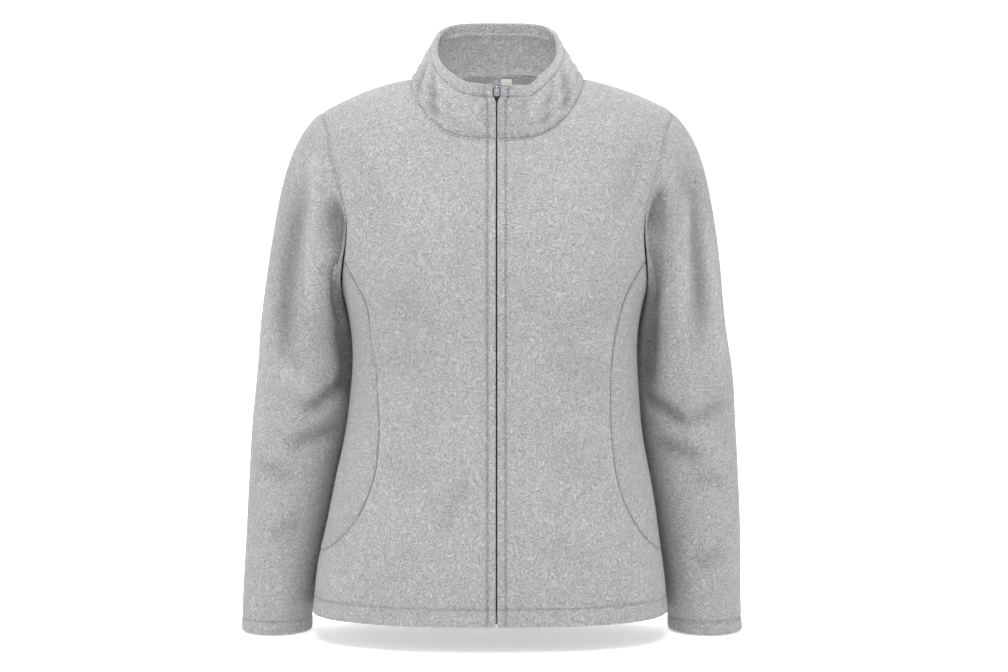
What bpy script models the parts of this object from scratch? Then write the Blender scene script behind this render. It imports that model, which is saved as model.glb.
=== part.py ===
"""A women's fleece zip jacket, worn and filled out: every cut piece is a thin wall of cloth.

Metres, +Z up, the front faces -Y and the wearer's left is +X. The origin is where the wearer
carries it: midway between the two points where the collar meets the shoulder seams.

The body's cloth lies on one smooth form. A row of SECTIONS is a ring of that form, and a place
on the form is (turn, level): turn is the angle from the centre line to the side, and level
counts rows of SECTIONS up from the hem. The panels are regions of the form between seam lines.
"""

import math

import bmesh
import bpy
import numpy as np

# Cloth and seams
FLEECE = 0.0026
FOLDED = 0.0042  # where a hem is turned under
ZIP_FOLDED = 0.0034  # the zip edge, pressed flat by its stitching
SEAM_GAP = 0.0003
HEM_DEPTH = 0.020
CUFF_DEPTH = 0.018
FOLD_ENDS = (0.96, 1.12)  # shares of a hem's depth between which the folded cloth gives out
ZIP_FOLD = 0.0100
ZIP_FLAT = 0.0125  # where the cloth beside the zip starts to curve
SEAM_LIFT = 0.6  # how far a joined wall's first edge leans out along the cloth's face
SEAM_VALLEY = 0.35  # how much two joined walls rise to each other where they close to a valley

# Body form. height is the distance below the shoulder line, out_* the half widths at the
# wearer's right and left, front and back the depths, square the squareness of the ring.
SECTION_COLUMNS = ("height", "out_right", "out_left", "front", "back", "square")
SECTIONS = (
    (0.616, 0.2125, 0.1965, 0.119, 0.112, 2.40),
    (0.560, 0.2065, 0.1925, 0.120, 0.111, 2.35),
    (0.500, 0.1940, 0.1840, 0.119, 0.108, 2.30),
    (0.440, 0.1815, 0.1735, 0.116, 0.102, 2.30),
    (0.380, 0.1705, 0.1645, 0.113, 0.095, 2.30),
    (0.325, 0.1655, 0.1610, 0.115, 0.092, 2.30),
    (0.280, 0.1700, 0.1645, 0.123, 0.097, 2.35),
    (0.240, 0.1790, 0.1730, 0.129, 0.104, 2.45),
    (0.195, 0.1880, 0.1840, 0.127, 0.109, 2.65),
    (0.150, 0.1960, 0.1940, 0.118, 0.110, 2.90),
    (0.105, 0.2050, 0.2040, 0.103, 0.106, 3.10),
    (0.065, 0.2140, 0.2140, 0.084, 0.093, 3.20),
    (0.033, 0.2200, 0.2200, 0.062, 0.071, 3.20),
    (0.011, 0.2240, 0.2240, 0.037, 0.043, 3.20),
    (0.000, 0.2250, 0.2250, 0.000, 0.000, 3.20),
)
SIDE_SEAM_Y = 0.004

# Shoulder line: level out to the neck, then falling faster toward the arm
SHOULDER_FLAT = 0.095
SHOULDER_FALL = 1.09
SHOULDER_CURVE = 1.5
NAPE_RISE = 0.040
THROAT_DIP = 0.008
SLOPED_ABOVE = 0.060
LEVEL_BELOW = 0.240

# Neckline, seen from above: half its width, its depths and their squareness
NECK_HALF = 0.101
NECK_FRONT = 0.0890
NECK_BACK = 0.0640
NECK_FRONT_SQUARE = 3.3
NECK_BACK_SQUARE = 2.3

# Armhole
SHOULDER_X = 0.203
UNDERARM = 0.242
ARM_ROUND = 0.100
ARM_TURN_FRONT = 50.5
ARM_TURN_BACK = 53.0

# Pocket seam of the side front: height below the shoulder line, and distance out from the zip
POCKET_COLUMNS = ("height", "right", "left")
POCKET_SEAM = (
    (0.242, 0.1565, 0.1500),
    (0.260, 0.1470, 0.1420),
    (0.285, 0.1425, 0.1350),
    (0.310, 0.1405, 0.1300),
    (0.333, 0.1358, 0.1283),
    (0.362, 0.1325, 0.1268),
    (0.395, 0.1300, 0.1262),
    (0.425, 0.1310, 0.1285),
    (0.455, 0.1350, 0.1330),
    (0.480, 0.1438, 0.1405),
    (0.502, 0.1560, 0.1510),
    (0.522, 0.1720, 0.1640),
    (0.538, 0.1900, 0.1800),
)
POCKET_FOOT = 0.546
POCKET_FOOT_WIDE = 0.004
POCKET_FOOT_DROP = 0.014  # how much lower the panels' row of the foot lies on the centre line
POCKET_PROUD = 0.0012
POCKET_PROUD_INSIDE = 0.35  # share of it one column in from the edge
POCKET_MOUTH = (0.300, 0.500)
METRES_A_TURN = 0.15
METRES_A_LEVEL = 0.05

# Sleeve below the arm's root: rings from the biceps to the cuff
SLEEVE_COLUMNS = ("drop", "inner_right", "outer_right", "inner_left", "outer_left", "centre_y", "half_deep")
SLEEVE = (
    (0.300, 0.1680, 0.2760, 0.1635, 0.2690, 0.019, 0.0580),
    (0.345, 0.1657, 0.2812, 0.1615, 0.2760, 0.025, 0.0560),
    (0.385, 0.1703, 0.2862, 0.1645, 0.2790, 0.031, 0.0545),
    (0.440, 0.1815, 0.2908, 0.1738, 0.2830, 0.034, 0.0520),
    (0.496, 0.1944, 0.2950, 0.1840, 0.2855, 0.034, 0.0500),
    (0.559, 0.2072, 0.2975, 0.1945, 0.2870, 0.034, 0.0480),
    (0.605, 0.2157, 0.2990, 0.1995, 0.2878, 0.032, 0.0465),
    (0.637, 0.2180, 0.3000, 0.2012, 0.2886, 0.030, 0.0460),
)
ARM_MIDDLE = (0.300, 0.004, -0.140)  # a place outside the wearer's left armhole
# How a sleeve leaves the armhole: out and down, as (under the arm, more at the top, power)
ARM_LEAVES_OUT = (0.10, 0.62, 1.3)
ARM_LEAVES_DOWN = (1.00, -0.42, 1.5)
ARM_REACH = (0.30, 0.80)  # how long it keeps that direction: under the arm, over the top
ARM_LATE = 0.90
ARM_ROOT_SPREAD = 1.25  # its rows stand closer near the armhole

# Long soft folds of the sleeves: where round the sleeve (0 outermost, 90 front), heights, size
SLEEVE_FOLDS = (  # side, turn, top, foot, rise, spread
    ("right", 118.0, 0.120, 0.300, 0.0035, 15.0),
    ("right", 148.0, 0.110, 0.330, -0.0040, 16.0),
    ("left", 122.0, 0.110, 0.290, 0.0030, 14.0),
    ("left", 80.0, 0.100, 0.300, -0.0025, 16.0),
)

# Collar. Its top edge is a ring on a plane that falls toward the front.
NECK_MIDDLE = (0.0, 0.0, 0.1)
COLLAR_MIDDLE = (0.0, -0.005, 0.0)
COLLAR_TOP_HALF = 0.0715
COLLAR_TOP_FRONT = 0.0850
COLLAR_TOP_BACK = 0.0580
COLLAR_WIDEST_Y = 0.0170
COLLAR_FRONT_SQUARE = 2.2
COLLAR_BACK_SQUARE = 3.4
COLLAR_TOP_Z = 0.0370
COLLAR_TOP_SLOPE = 0.680
COLLAR_SAG = (24.0, 11.0, 0.0045)  # where round the neck its edge dips, over what, how deep
COLLAR_FOLDED = 0.0060
COLLAR_FOLD_ENDS = (0.74, 0.80)  # shares of its height between which the folded cloth gives out
COLLAR_BULGE = 0.0020
ZIP_STIFF = (9.0, 30.0)  # degrees from the zip over which the collar starts to bulge and crease
# Its creases: round the neck from the front, share of the height, depth, half width, slant
COLLAR_FOLDS = (  # turn, up, rise, spread, slant
    (-66.0, 0.55, -0.0032, 7.0, -16.0),
    (-50.0, 0.40, -0.0030, 6.0, -16.0),
    (56.0, 0.50, -0.0030, 7.0, 16.0),
    (22.0, 0.62, -0.0018, 7.0, 10.0),
)

# Zip, in the depth of the cloth behind its face
ZIP_EDGE = 0.0012  # half of the slot between the two fronts
ZIP_PARTED = 0.0046  # and where the slider holds them apart, at the top
ZIP_PARTED_OVER = (0.55, 0.80)  # shares of the collar's height over which they part
ZIP_PARTED_SHARES = (1.0, 0.55, 0.5)  # of the edge and of the two columns beside it
TAPE_COLUMNS = (0.0027, 0.0070, 0.0125)
TAPE_THICK = 0.0008
TAPE_SHORT = (0.15, 0.30)  # shares of a row that its ends lie in from the hem and the top
CHAIN_HALF = 0.0024
CHAIN_THICK = 0.0016
CHAIN_DEPTH = ZIP_FOLDED + SEAM_GAP
CHAIN_END_CLEAR = 0.004  # no row of the chain is nearer than this to its ends
NECK_BEND = 1.12  # the zip lies this much deeper where the neck seam bends over it
BOX_UP = (0.004, 0.015)
BOX_HALF = 0.0024
BOX_THICK = 0.0024
BOX_ROUND = 0.0003
JOIN = 0.0002  # how far the boxes of one metal piece run into each other

# Slider and pull, about the middle of the chain behind the slider
SLIDER_BELOW_TOP = 0.0085
SLIDER_HALF_WIDE = 0.0037
SLIDER_LOW = -0.0048
SLIDER_HIGH = 0.0040
PLATE_GAP = 0.0011
PLATE_THICK = 0.0012
CORE_HALF = 0.0012
CORE_LOW = 0.0015
BRIDGE_HALF = 0.0008
BRIDGE_LOW = -0.0015
BRIDGE_HIGH = 0.0061
BRIDGE_BAR = 0.0008
BRIDGE_DEPTH = 0.0062
PIVOT_DEPTH = 0.0046
PIVOT_UP = 0.0043
PULL_THICK = 0.0009
PULL_LONG = 0.0160
PULL_SLOT = 0.0066
PULL_ARM = (0.0013, 0.0025)
PULL_TIP_HALF = 0.0020
PULL_LEAN = 50.0  # back from upright, lying over the top of the collar

# Neck label
LABEL_X = (0.004, 0.018)
LABEL_Z = (-0.018, 0.0135)
LABEL_THICK = 0.0006
LABEL_CLEAR = 0.0009

LABEL_ROWS = 5
LABEL_COLUMNS = 4

# Mesh fineness
NECK_COLUMNS = 7
SHOULDER_COLUMNS = 6
ARM_FOOT_STEPS = 4  # of the side front, from the side seam to the pocket seam
ARM_ROUND_STEPS = 3
ARM_UPPER_STEPS = 7
HEM_ROWS = 3
POCKET_ROWS = 13
SLEEVE_ROOT_ROWS = 7
SLEEVE_ROWS = 10
COLLAR_ROWS = 6


def column(table, names, name):
    return np.array([row[names.index(name)] for row in table], float)


def spline(knots, values):
    """A smooth curve through the values: a natural cubic, as a function of its knot."""
    knots = np.asarray(knots, float)
    values = np.asarray(values, float)
    step = np.diff(knots)
    count = len(knots)
    matrix = np.eye(count)
    right = np.zeros(count)
    for i in range(1, count - 1):
        matrix[i, i - 1] = step[i - 1]
        matrix[i, i] = 2 * (step[i - 1] + step[i])
        matrix[i, i + 1] = step[i]
        rise = (values[i + 1] - values[i]) / step[i] - (values[i] - values[i - 1]) / step[i - 1]
        right[i] = 6 * rise
    bend = np.linalg.solve(matrix, right)

    def at(x):
        i = int(np.clip(np.searchsorted(knots, x) - 1, 0, count - 2))
        a = (knots[i + 1] - x) / step[i]
        b = 1 - a
        curve = (a**3 - a) * bend[i] + (b**3 - b) * bend[i + 1]
        return a * values[i] + b * values[i + 1] + curve * step[i] ** 2 / 6

    return at


def smooth(x):
    x = min(1.0, max(0.0, x))
    return x * x * (3 - 2 * x)


TOP = len(SECTIONS) - 1
LEVEL = {
    name: spline(range(TOP + 1), column(SECTIONS, SECTION_COLUMNS, name)) for name in SECTION_COLUMNS
}


def level_of(height):
    """The level whose height below the shoulder line is this."""
    low, high = 0.0, float(TOP)
    for _ in range(40):
        middle = (low + high) / 2
        if LEVEL["height"](middle) > height:
            low = middle
        else:
            high = middle
    return (low + high) / 2


def ridge(x, half):
    """The shoulder line's height at this distance from the centre, with the nape or the throat."""
    x = abs(x)
    fall = SHOULDER_FALL * max(0.0, x - SHOULDER_FLAT) ** SHOULDER_CURVE
    inside = (1 - min(x / NECK_HALF, 1.0) ** 3) ** 2
    return -fall + inside * (NAPE_RISE if half == "back" else -THROAT_DIP)


def sloped(height):
    """How much of the shoulder line's slope a ring at this height follows."""
    return smooth((LEVEL_BELOW - height) / (LEVEL_BELOW - SLOPED_ABOVE))


def swell(turn, square):
    s, c = abs(math.sin(turn)), abs(math.cos(turn))
    return (s**square + c**square) ** (-1 / square)


def form(turn, level, half, side):
    """The place on the body's form: turn in radians from the centre line out to the side."""
    level = min(level, float(TOP))
    height = LEVEL["height"](level)
    square = LEVEL["square"](level)
    swollen = swell(turn, square)
    x = LEVEL["out_" + side](level) * swollen * math.sin(turn)
    y = max(LEVEL[half](level), 0.0) * swollen * math.cos(turn)
    z = -height + ridge(x, half) * sloped(height)
    return np.array([x if side == "left" else -x, SIDE_SEAM_Y + (y if half == "back" else -y), z])


def turn_at(x, level, side):
    """The turn at which the ring of this level is this far out."""
    wide = LEVEL["out_" + side](level)
    square = LEVEL["square"](level)
    low, high = 0.0, math.pi / 2
    for _ in range(40):
        middle = (low + high) / 2
        if wide * swell(middle, square) * math.sin(middle) < x:
            low = middle
        else:
            high = middle
    return (low + high) / 2


def place_at(x, z, half, side):
    """(turn, level) of the form's point that shows at x, z from the front."""
    low, high = 0.0, 0.7
    for _ in range(40):
        middle = (low + high) / 2
        if -middle + ridge(x, half) * sloped(middle) > z:
            low = middle
        else:
            high = middle
    level = level_of(low)
    return turn_at(x, level, side), level


def place_over(x, y, half, side):
    """(turn, level) of the upper form's point that lies x out and y off the side seam, from above."""
    low, high = level_of(0.20), float(TOP)
    for _ in range(40):
        middle = (low + high) / 2
        turn = turn_at(x, middle, side)
        deep = LEVEL[half](middle) * swell(turn, LEVEL["square"](middle)) * math.cos(turn)
        if deep > y:
            low = middle
        else:
            high = middle
    level = (low + high) / 2
    return turn_at(x, level, side), level


def form_normal(turn, level, half, side):
    """The form's outward direction, from two small steps along it."""
    step_turn, step_level = 0.01, 0.02
    low_turn = max(turn - step_turn, 0.0)
    low_level = max(level - step_level, 0.0)
    high_level = min(level + step_level, TOP - 0.001)
    across = form(turn + step_turn, level, half, side) - form(low_turn, level, half, side)
    if turn < step_turn:
        across = np.array([1.0 if side == "left" else -1.0, 0.0, 0.0])
    up = form(turn, high_level, half, side) - form(turn, low_level, half, side)
    if level > TOP - 0.05:
        up = np.array([0.0, -1.0 if half == "back" else 1.0, 0.0])
    out = np.cross(across, up)
    if (half == "back") == (side == "left"):
        out = -out
    return out / np.linalg.norm(out)


# Seam lines, each a list of (turn, level) from the bottom up or from the centre out


def shoulder_line(side):
    reach = np.linspace(NECK_HALF, SHOULDER_X, SHOULDER_COLUMNS + 1)
    return [(turn_at(x, TOP, side), float(TOP)) for x in reach]


def arm_line(half, side):
    """The armhole from the side seam up to the shoulder: a quarter round, then nearly upright."""
    upright = math.radians(ARM_TURN_FRONT if half == "front" else ARM_TURN_BACK)
    foot = math.pi / 4
    swings = [foot * k / ARM_FOOT_STEPS for k in range(ARM_FOOT_STEPS)]
    swings += [foot * (1 + k / ARM_ROUND_STEPS) for k in range(ARM_ROUND_STEPS + 1)]
    points = []
    for swing in swings:
        height = UNDERARM - ARM_ROUND * (1 - math.cos(swing))
        turn = math.pi / 2 - (math.pi / 2 - upright) * math.sin(swing)
        points.append((turn, level_of(height)))
    start = points[-1][1]
    at_top = turn_at(SHOULDER_X, TOP, side)
    for k in range(1, ARM_UPPER_STEPS + 1):
        share = k / ARM_UPPER_STEPS
        turn = upright + (at_top - upright) * smooth(2 * share - 1)
        points.append((turn, start + (TOP - start) * share))
    return points


def pocket_line(side):
    """The pocket seam from its foot near the side seam up to the armhole."""
    heights = column(POCKET_SEAM, POCKET_COLUMNS, "height")
    reach = column(POCKET_SEAM, POCKET_COLUMNS, side)
    places = [(turn_at(x, level_of(h), side), level_of(h)) for h, x in zip(heights, reach)]
    places.reverse()
    foot_level = level_of(POCKET_FOOT)
    foot_wide = POCKET_FOOT_WIDE / LEVEL["front"](foot_level)
    places.insert(0, (math.pi / 2 - foot_wide, foot_level))
    places.append(arm_line("front", side)[ARM_FOOT_STEPS])
    way = [0.0]
    for (turn_a, level_a), (turn_b, level_b) in zip(places, places[1:]):
        across, up = (turn_b - turn_a) * METRES_A_TURN, (level_b - level_a) * METRES_A_LEVEL
        way.append(way[-1] + math.hypot(across, up))
    turn = spline(way, [place[0] for place in places])
    level = spline(way, [place[1] for place in places])
    return [(turn(d), level(d)) for d in np.linspace(0.0, way[-1], POCKET_ROWS + 1)]


def side_line(first, last, rows):
    """The side seam between two heights, from the lower up."""
    return [(math.pi / 2, level_of(h)) for h in np.linspace(first, last, rows + 1)]


def hem_levels():
    """Rows that turn the hem: its edge, and both sides of where the folded cloth ends."""
    hem = SECTIONS[0][0]
    return [level_of(hem - HEM_DEPTH * share) for share in (0.0, *FOLD_ENDS)]


# Grids of places: rows from the bottom up, columns from the centre line out


def blend(bottom, top, inner, outer):
    """The places between four seam lines that meet at their ends."""
    rows, columns = len(inner), len(bottom)
    bottom, top = np.array(bottom), np.array(top)
    share = np.linspace(0.0, 1.0, columns)[:, None]
    bowed_low = bottom - (1 - share) * bottom[0] - share * bottom[-1]
    bowed_high = top - (1 - share) * top[0] - share * top[-1]
    grid = np.zeros((rows, columns, 2))
    for i in range(rows):
        up = i / (rows - 1)
        straight = (1 - share) * np.array(inner[i]) + share * np.array(outer[i])
        grid[i] = straight + (1 - up) ** 2 * bowed_low + up**2 * bowed_high
    return grid


def centre_levels(hem, outer, top_level):
    """Levels of a panel's rows on the centre line: those of the hem, the stretch below the
    pocket's foot, and even steps up to the neck."""
    foot = len(hem) + HEM_ROWS + 1
    middle = level_of(POCKET_FOOT + POCKET_FOOT_DROP)
    low = list(np.linspace(hem[-1], middle, foot - len(hem) + 1)[1:])
    high = list(np.linspace(middle, top_level, len(outer) - foot + 1)[1:])
    return hem + low + high


def near_zip(k):
    return (ZIP_EDGE, ZIP_FOLD, ZIP_FLAT)[k]


def neck_curve(half, side, start, steps):
    """The neckline from start metres off the centre out to the shoulder, in even steps."""
    deep = NECK_FRONT if half == "front" else NECK_BACK
    square = NECK_FRONT_SQUARE if half == "front" else NECK_BACK_SQUARE
    swings = np.linspace(0.0, math.pi / 2, 60)
    flat = np.array(
        [
            (NECK_HALF * swell(a, square) * math.sin(a), deep * swell(a, square) * math.cos(a))
            for a in swings
        ]
    )
    way = np.concatenate([[0.0], np.cumsum(np.linalg.norm(np.diff(flat, axis=0), axis=1))])
    first = np.interp(start, flat[:, 0], way)
    points = []
    for d in np.linspace(first, way[-1], steps + 1)[:-1]:
        x, y = np.interp(d, way, flat[:, 0]), np.interp(d, way, flat[:, 1])
        points.append(place_over(x, y, half, side))
    return points + [(turn_at(NECK_HALF, TOP, side), float(TOP))]


def neck_places(side):
    """The front neckline, from the zip's edge to the shoulder."""
    points = neck_curve("front", side, near_zip(2), NECK_COLUMNS - 2)
    for k in (1, 0):
        y = NECK_FRONT * (1 - (near_zip(k) / NECK_HALF) ** NECK_FRONT_SQUARE) ** (1 / NECK_FRONT_SQUARE)
        points.insert(0, place_over(near_zip(k), y, "front", side))
    return points


def front_places(side):
    hem = hem_levels()
    foot = level_of(POCKET_FOOT)
    outer = [(math.pi / 2, level) for level in hem]
    outer += [(math.pi / 2, level) for level in np.linspace(hem[-1], foot, HEM_ROWS + 1)[1:]]
    outer += pocket_line(side)
    outer += arm_line("front", side)[ARM_FOOT_STEPS + 1 :]
    neck = neck_places(side)
    top = neck + shoulder_line(side)[1:]
    inner = [(turn_at(ZIP_EDGE, level, side), level) for level in centre_levels(hem, outer, neck[0][1])]
    turns = np.linspace(turn_at(near_zip(2), 0.0, side), math.pi / 2, len(top) - 2)
    bottom = [inner[0], (turn_at(near_zip(1), 0.0, side), 0.0)]
    bottom += [(turn, 0.0) for turn in turns]
    grid = blend(bottom, top, inner, outer)
    for i in range(len(hem)):
        grid[i, :, 1] = hem[i]
    for row in grid:
        for j in (0, 1, 2):
            row[j, 0] = turn_at(near_zip(j), row[j, 1], side)
    return grid


def side_front_places(side):
    inner = pocket_line(side)
    outer = side_line(POCKET_FOOT, UNDERARM, POCKET_ROWS)
    top = arm_line("front", side)[: ARM_FOOT_STEPS + 1][::-1]
    bottom = [inner[0], outer[0]]
    bottom = [
        (bottom[0][0] + (bottom[1][0] - bottom[0][0]) * k / ARM_FOOT_STEPS, inner[0][1])
        for k in range(ARM_FOOT_STEPS + 1)
    ]
    return blend(bottom, top, inner, outer)


def back_places(side):
    hem = hem_levels()
    foot = level_of(POCKET_FOOT)
    outer = [(math.pi / 2, level) for level in hem]
    outer += [(math.pi / 2, level) for level in np.linspace(hem[-1], foot, HEM_ROWS + 1)[1:]]
    outer += side_line(POCKET_FOOT, UNDERARM, POCKET_ROWS)[1:]
    outer += arm_line("back", side)[1:]
    top = back_neck_places(side) + shoulder_line(side)[1:]
    inner = [(0.0, level) for level in centre_levels(hem, outer, top[0][1])]
    bottom = [(turn, 0.0) for turn in np.linspace(0.0, math.pi / 2, len(top))]
    grid = blend(bottom, top, inner, outer)
    for i in range(len(hem)):
        grid[i, :, 1] = hem[i]
    return grid


def back_neck_places(side):
    """The back neckline, from the centre to the shoulder."""
    return neck_curve("back", side, 0.0, NECK_COLUMNS)


# Walls of cloth


def unit(vector):
    return vector / np.linalg.norm(vector)


def on_form(places, half, side):
    """The points and the outward directions of a grid of places."""
    rows, columns = places.shape[:2]
    points = np.zeros((rows, columns, 3))
    normals = np.zeros((rows, columns, 3))
    for i in range(rows):
        for j in range(columns):
            points[i, j] = form(*places[i, j], half, side)
            normals[i, j] = form_normal(*places[i, j], half, side)
    return points, normals


def pull_in(points, normals):
    """Draws a panel's four edges in by half of a seam's gap."""
    moved = points.copy()
    edges = (
        (points[0], points[1], normals[0], moved[0]),
        (points[-1], points[-2], normals[-1], moved[-1]),
        (points[:, 0], points[:, 1], normals[:, 0], moved[:, 0]),
        (points[:, -1], points[:, -2], normals[:, -1], moved[:, -1]),
    )
    for edge, inside, out, target in edges:
        along = np.gradient(edge, axis=0)
        across = np.cross(out, along)
        across /= np.linalg.norm(across, axis=1)[:, None]
        flip = np.sign(((inside - edge) * across).sum())
        target += across * flip * SEAM_GAP / 2
    return moved


def grid_normals(points, closed, outward):
    """Outward directions of a grid's points; closed says that its columns run all round."""
    if closed:
        across = np.roll(points, -1, 1) - np.roll(points, 1, 1)
    else:
        across = np.gradient(points, axis=1)
    normals = np.cross(across, np.gradient(points, axis=0))
    normals /= np.linalg.norm(normals, axis=2)[:, :, None]
    facing = (normals * (points - outward)).sum()
    return normals if facing > 0 else -normals


def material(name, colour, roughness, metallic=0.0):
    made = bpy.data.materials.get(name) or bpy.data.materials.new(name)
    made.use_nodes = True
    shader = made.node_tree.nodes["Principled BSDF"]
    shader.inputs["Base Color"].default_value = (*colour, 1.0)
    shader.inputs["Roughness"].default_value = roughness
    shader.inputs["Metallic"].default_value = metallic
    made.diffuse_color = (*colour, 1.0)
    return made


def add_object(name, bm, shade, parent=None):
    bmesh.ops.recalc_face_normals(bm, faces=bm.faces)
    mesh = bpy.data.meshes.new(name)
    bm.to_mesh(mesh)
    bm.free()
    mesh.materials.append(shade)
    mesh.shade_smooth()
    mesh.set_sharp_from_angle(angle=math.radians(40))
    made = bpy.data.objects.new(name, mesh)
    bpy.context.scene.collection.objects.link(made)
    made.parent = parent
    return made


def wall(name, outer, inner, shade, closed=False):
    """A closed body between an outer and an inner grid of points."""
    rows, columns = outer.shape[:2]
    bm = bmesh.new()
    out = [[bm.verts.new(point) for point in row] for row in outer]
    back = [[bm.verts.new(point) for point in row] for row in inner]
    last = columns if closed else columns - 1
    for i in range(rows - 1):
        for j in range(last):
            k = (j + 1) % columns
            bm.faces.new((out[i][j], out[i][k], out[i + 1][k], out[i + 1][j]))
            bm.faces.new((back[i][j], back[i + 1][j], back[i + 1][k], back[i][k]))
    for j in range(last):
        k = (j + 1) % columns
        bm.faces.new((out[0][j], back[0][j], back[0][k], out[0][k]))
        bm.faces.new((out[-1][j], out[-1][k], back[-1][k], back[-1][j]))
    if not closed:
        for i in range(rows - 1):
            bm.faces.new((out[i][0], out[i + 1][0], back[i + 1][0], back[i][0]))
            bm.faces.new((out[i][-1], back[i][-1], back[i + 1][-1], out[i + 1][-1]))
    return add_object(name, bm, shade)


# Body panels


def cloth_depth(points, zip_columns):
    """How thick the wall is at each point: more along the turned hem and the zip edge."""
    depth = np.full(points.shape[:2], FLEECE)
    depth[:2] = FOLDED
    if zip_columns:
        depth[:, :2] = ZIP_FOLDED
        depth[:2, :3] = ZIP_FOLDED
    return depth


def proud_edge(points, normals, heights):
    """Lifts the pocket mouth's edge off the side front."""
    low, high = POCKET_MOUTH
    moved = points.copy()
    for i, height in enumerate(heights):
        share = math.sin(math.pi * min(1.0, max(0.0, (height - low) / (high - low))))
        moved[i, -1] += normals[i, -1] * POCKET_PROUD * share
        moved[i, -2] += normals[i, -2] * POCKET_PROUD * share * POCKET_PROUD_INSIDE
    return moved


def make_front(side, shade):
    places = front_places(side)
    points, normals = on_form(places, "front", side)
    edge = pull_in(points, normals)
    heights = [LEVEL["height"](level) for level in places[:, -1, 1]]
    outer = proud_edge(edge, normals, heights)
    depth = cloth_depth(points, True)
    wall("front_" + side, outer, outer - normals * depth[:, :, None], shade)
    return points, normals


def make_side_front(side, shade):
    points, normals = on_form(side_front_places(side), "front", side)
    outer = pull_in(points, normals)
    wall("side_front_" + side, outer, outer - normals * FLEECE, shade)


def make_back(shade):
    grids = {side: on_form(back_places(side), "back", side) for side in ("right", "left")}
    points = np.concatenate([grids["right"][0][:, ::-1], grids["left"][0][:, 1:]], axis=1)
    normals = np.concatenate([grids["right"][1][:, ::-1], grids["left"][1][:, 1:]], axis=1)
    outer = pull_in(points, normals)
    depth = cloth_depth(points, False)
    wall("back", outer, outer - normals * depth[:, :, None], shade)


# What is sewn to an edge of the body: the collar and the sleeves


def edge_frame(points, normals, centre):
    """For a seam line, the direction in the cloth that leads off the body, toward the centre."""
    along = np.gradient(points, axis=0)
    off = np.cross(along, normals)
    off /= np.linalg.norm(off, axis=1)[:, None]
    flip = np.sign(((centre - points) * off).sum(1))
    return off * flip[:, None]


def seam_start(points, normals, off, leave):
    """Where a joined wall's outer edge starts, half a gap from the seam on the far side."""
    turned = 1 - (off * leave).sum(1)
    away = off + leave + normals * turned[:, None] * SEAM_LIFT
    away /= np.linalg.norm(away, axis=1)[:, None]
    return points + away * SEAM_GAP


def seam_depth(own, body, leave):
    """The thickness direction of a joined wall's first row: square to the body's where the seam
    folds back, and its own where the two walls close to a valley."""
    rising = (leave * body).sum(1)
    share = np.array([smooth(value / SEAM_VALLEY) for value in rising])[:, None]
    mixed = body * (1 - share) + own * share
    return mixed / np.linalg.norm(mixed, axis=1)[:, None]


def neck_ring():
    """The neckline from the wearer's right zip edge round the back to the left one."""
    points, normals = [], []
    parts = (
        ("front", "right", neck_places("right")),
        ("back", "right", back_neck_places("right")[:-1][::-1]),
        ("back", "left", back_neck_places("left")[1:-1]),
        ("front", "left", neck_places("left")[::-1]),
    )
    for half, side, places in parts:
        for place in places:
            points.append(form(*place, half, side))
            normals.append(form_normal(*place, half, side))
    return np.array(points), np.array(normals)


def collar_edge(count):
    """Half of the collar's top edge from above: (x, y) from the centre front to the centre back."""
    points = []
    for swing in np.linspace(0.0, math.pi, count):
        if swing < math.pi / 2:
            deep, square = COLLAR_TOP_FRONT + COLLAR_WIDEST_Y, COLLAR_FRONT_SQUARE
        else:
            deep, square = COLLAR_TOP_BACK - COLLAR_WIDEST_Y, COLLAR_BACK_SQUARE
        swollen = swell(swing, square)
        x = COLLAR_TOP_HALF * swollen * math.sin(swing)
        points.append((x, COLLAR_WIDEST_Y - deep * swollen * math.cos(swing)))
    return np.array(points)


def shares_along(points):
    """Each point's share of the way along a line of points."""
    steps = np.linalg.norm(np.diff(points, axis=0), axis=1)
    way = np.concatenate([[0.0], np.cumsum(steps)])
    return way / way[-1]


def collar_tops(base):
    """The collar's top edge above each point of the neckline, at the same share of its length."""
    edge = collar_edge(200)
    edge_shares = shares_along(edge)
    behind = len(base) // 2
    tops = np.zeros(base.shape)
    for half, sign in ((slice(0, behind + 1), -1), (slice(-1, behind - 1, -1), 1)):
        shares = shares_along(base[half])
        tops[half, 0] = sign * np.interp(shares, edge_shares, edge[:, 0])
        tops[half, 1] = np.interp(shares, edge_shares, edge[:, 1])
    tops[:, 2] = COLLAR_TOP_Z + COLLAR_TOP_SLOPE * tops[:, 1]
    turns = np.degrees(np.arctan2(tops[:, 0], -tops[:, 1]))
    sag_turn, sag_spread, sag = COLLAR_SAG
    tops[:, 2] -= sag * np.exp(-(((turns - sag_turn) / sag_spread) ** 2))
    return tops


def collar_crease(turn, up):
    """How far a crease moves the collar's face at this place."""
    total = 0.0
    for centre, middle, rise, spread, slant in COLLAR_FOLDS:
        off = turn - centre - slant * (up - middle)
        along = math.sin(math.pi * min(1.0, max(0.0, up))) ** 0.7
        total += rise * math.exp(-((off / spread) ** 2)) * along
    return total


def collar_shares():
    """Rows of the collar from its seam up, with both sides of where the folded top ends."""
    return list(np.linspace(0.0, COLLAR_FOLD_ENDS[0], COLLAR_ROWS - 1)) + [COLLAR_FOLD_ENDS[1], 1.0]


def part_zip_edges(points, shares):
    """Sets the collar's columns beside the zip, which part toward the top round the slider."""
    low, high = ZIP_PARTED_OVER
    for row, share in zip(points, shares):
        parted = smooth((share - low) / (high - low)) * (ZIP_PARTED - ZIP_EDGE)
        for k in range(3):
            x = near_zip(k) + parted * ZIP_PARTED_SHARES[k]
            row[k, 0] = -x
            row[-1 - k, 0] = x


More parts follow.
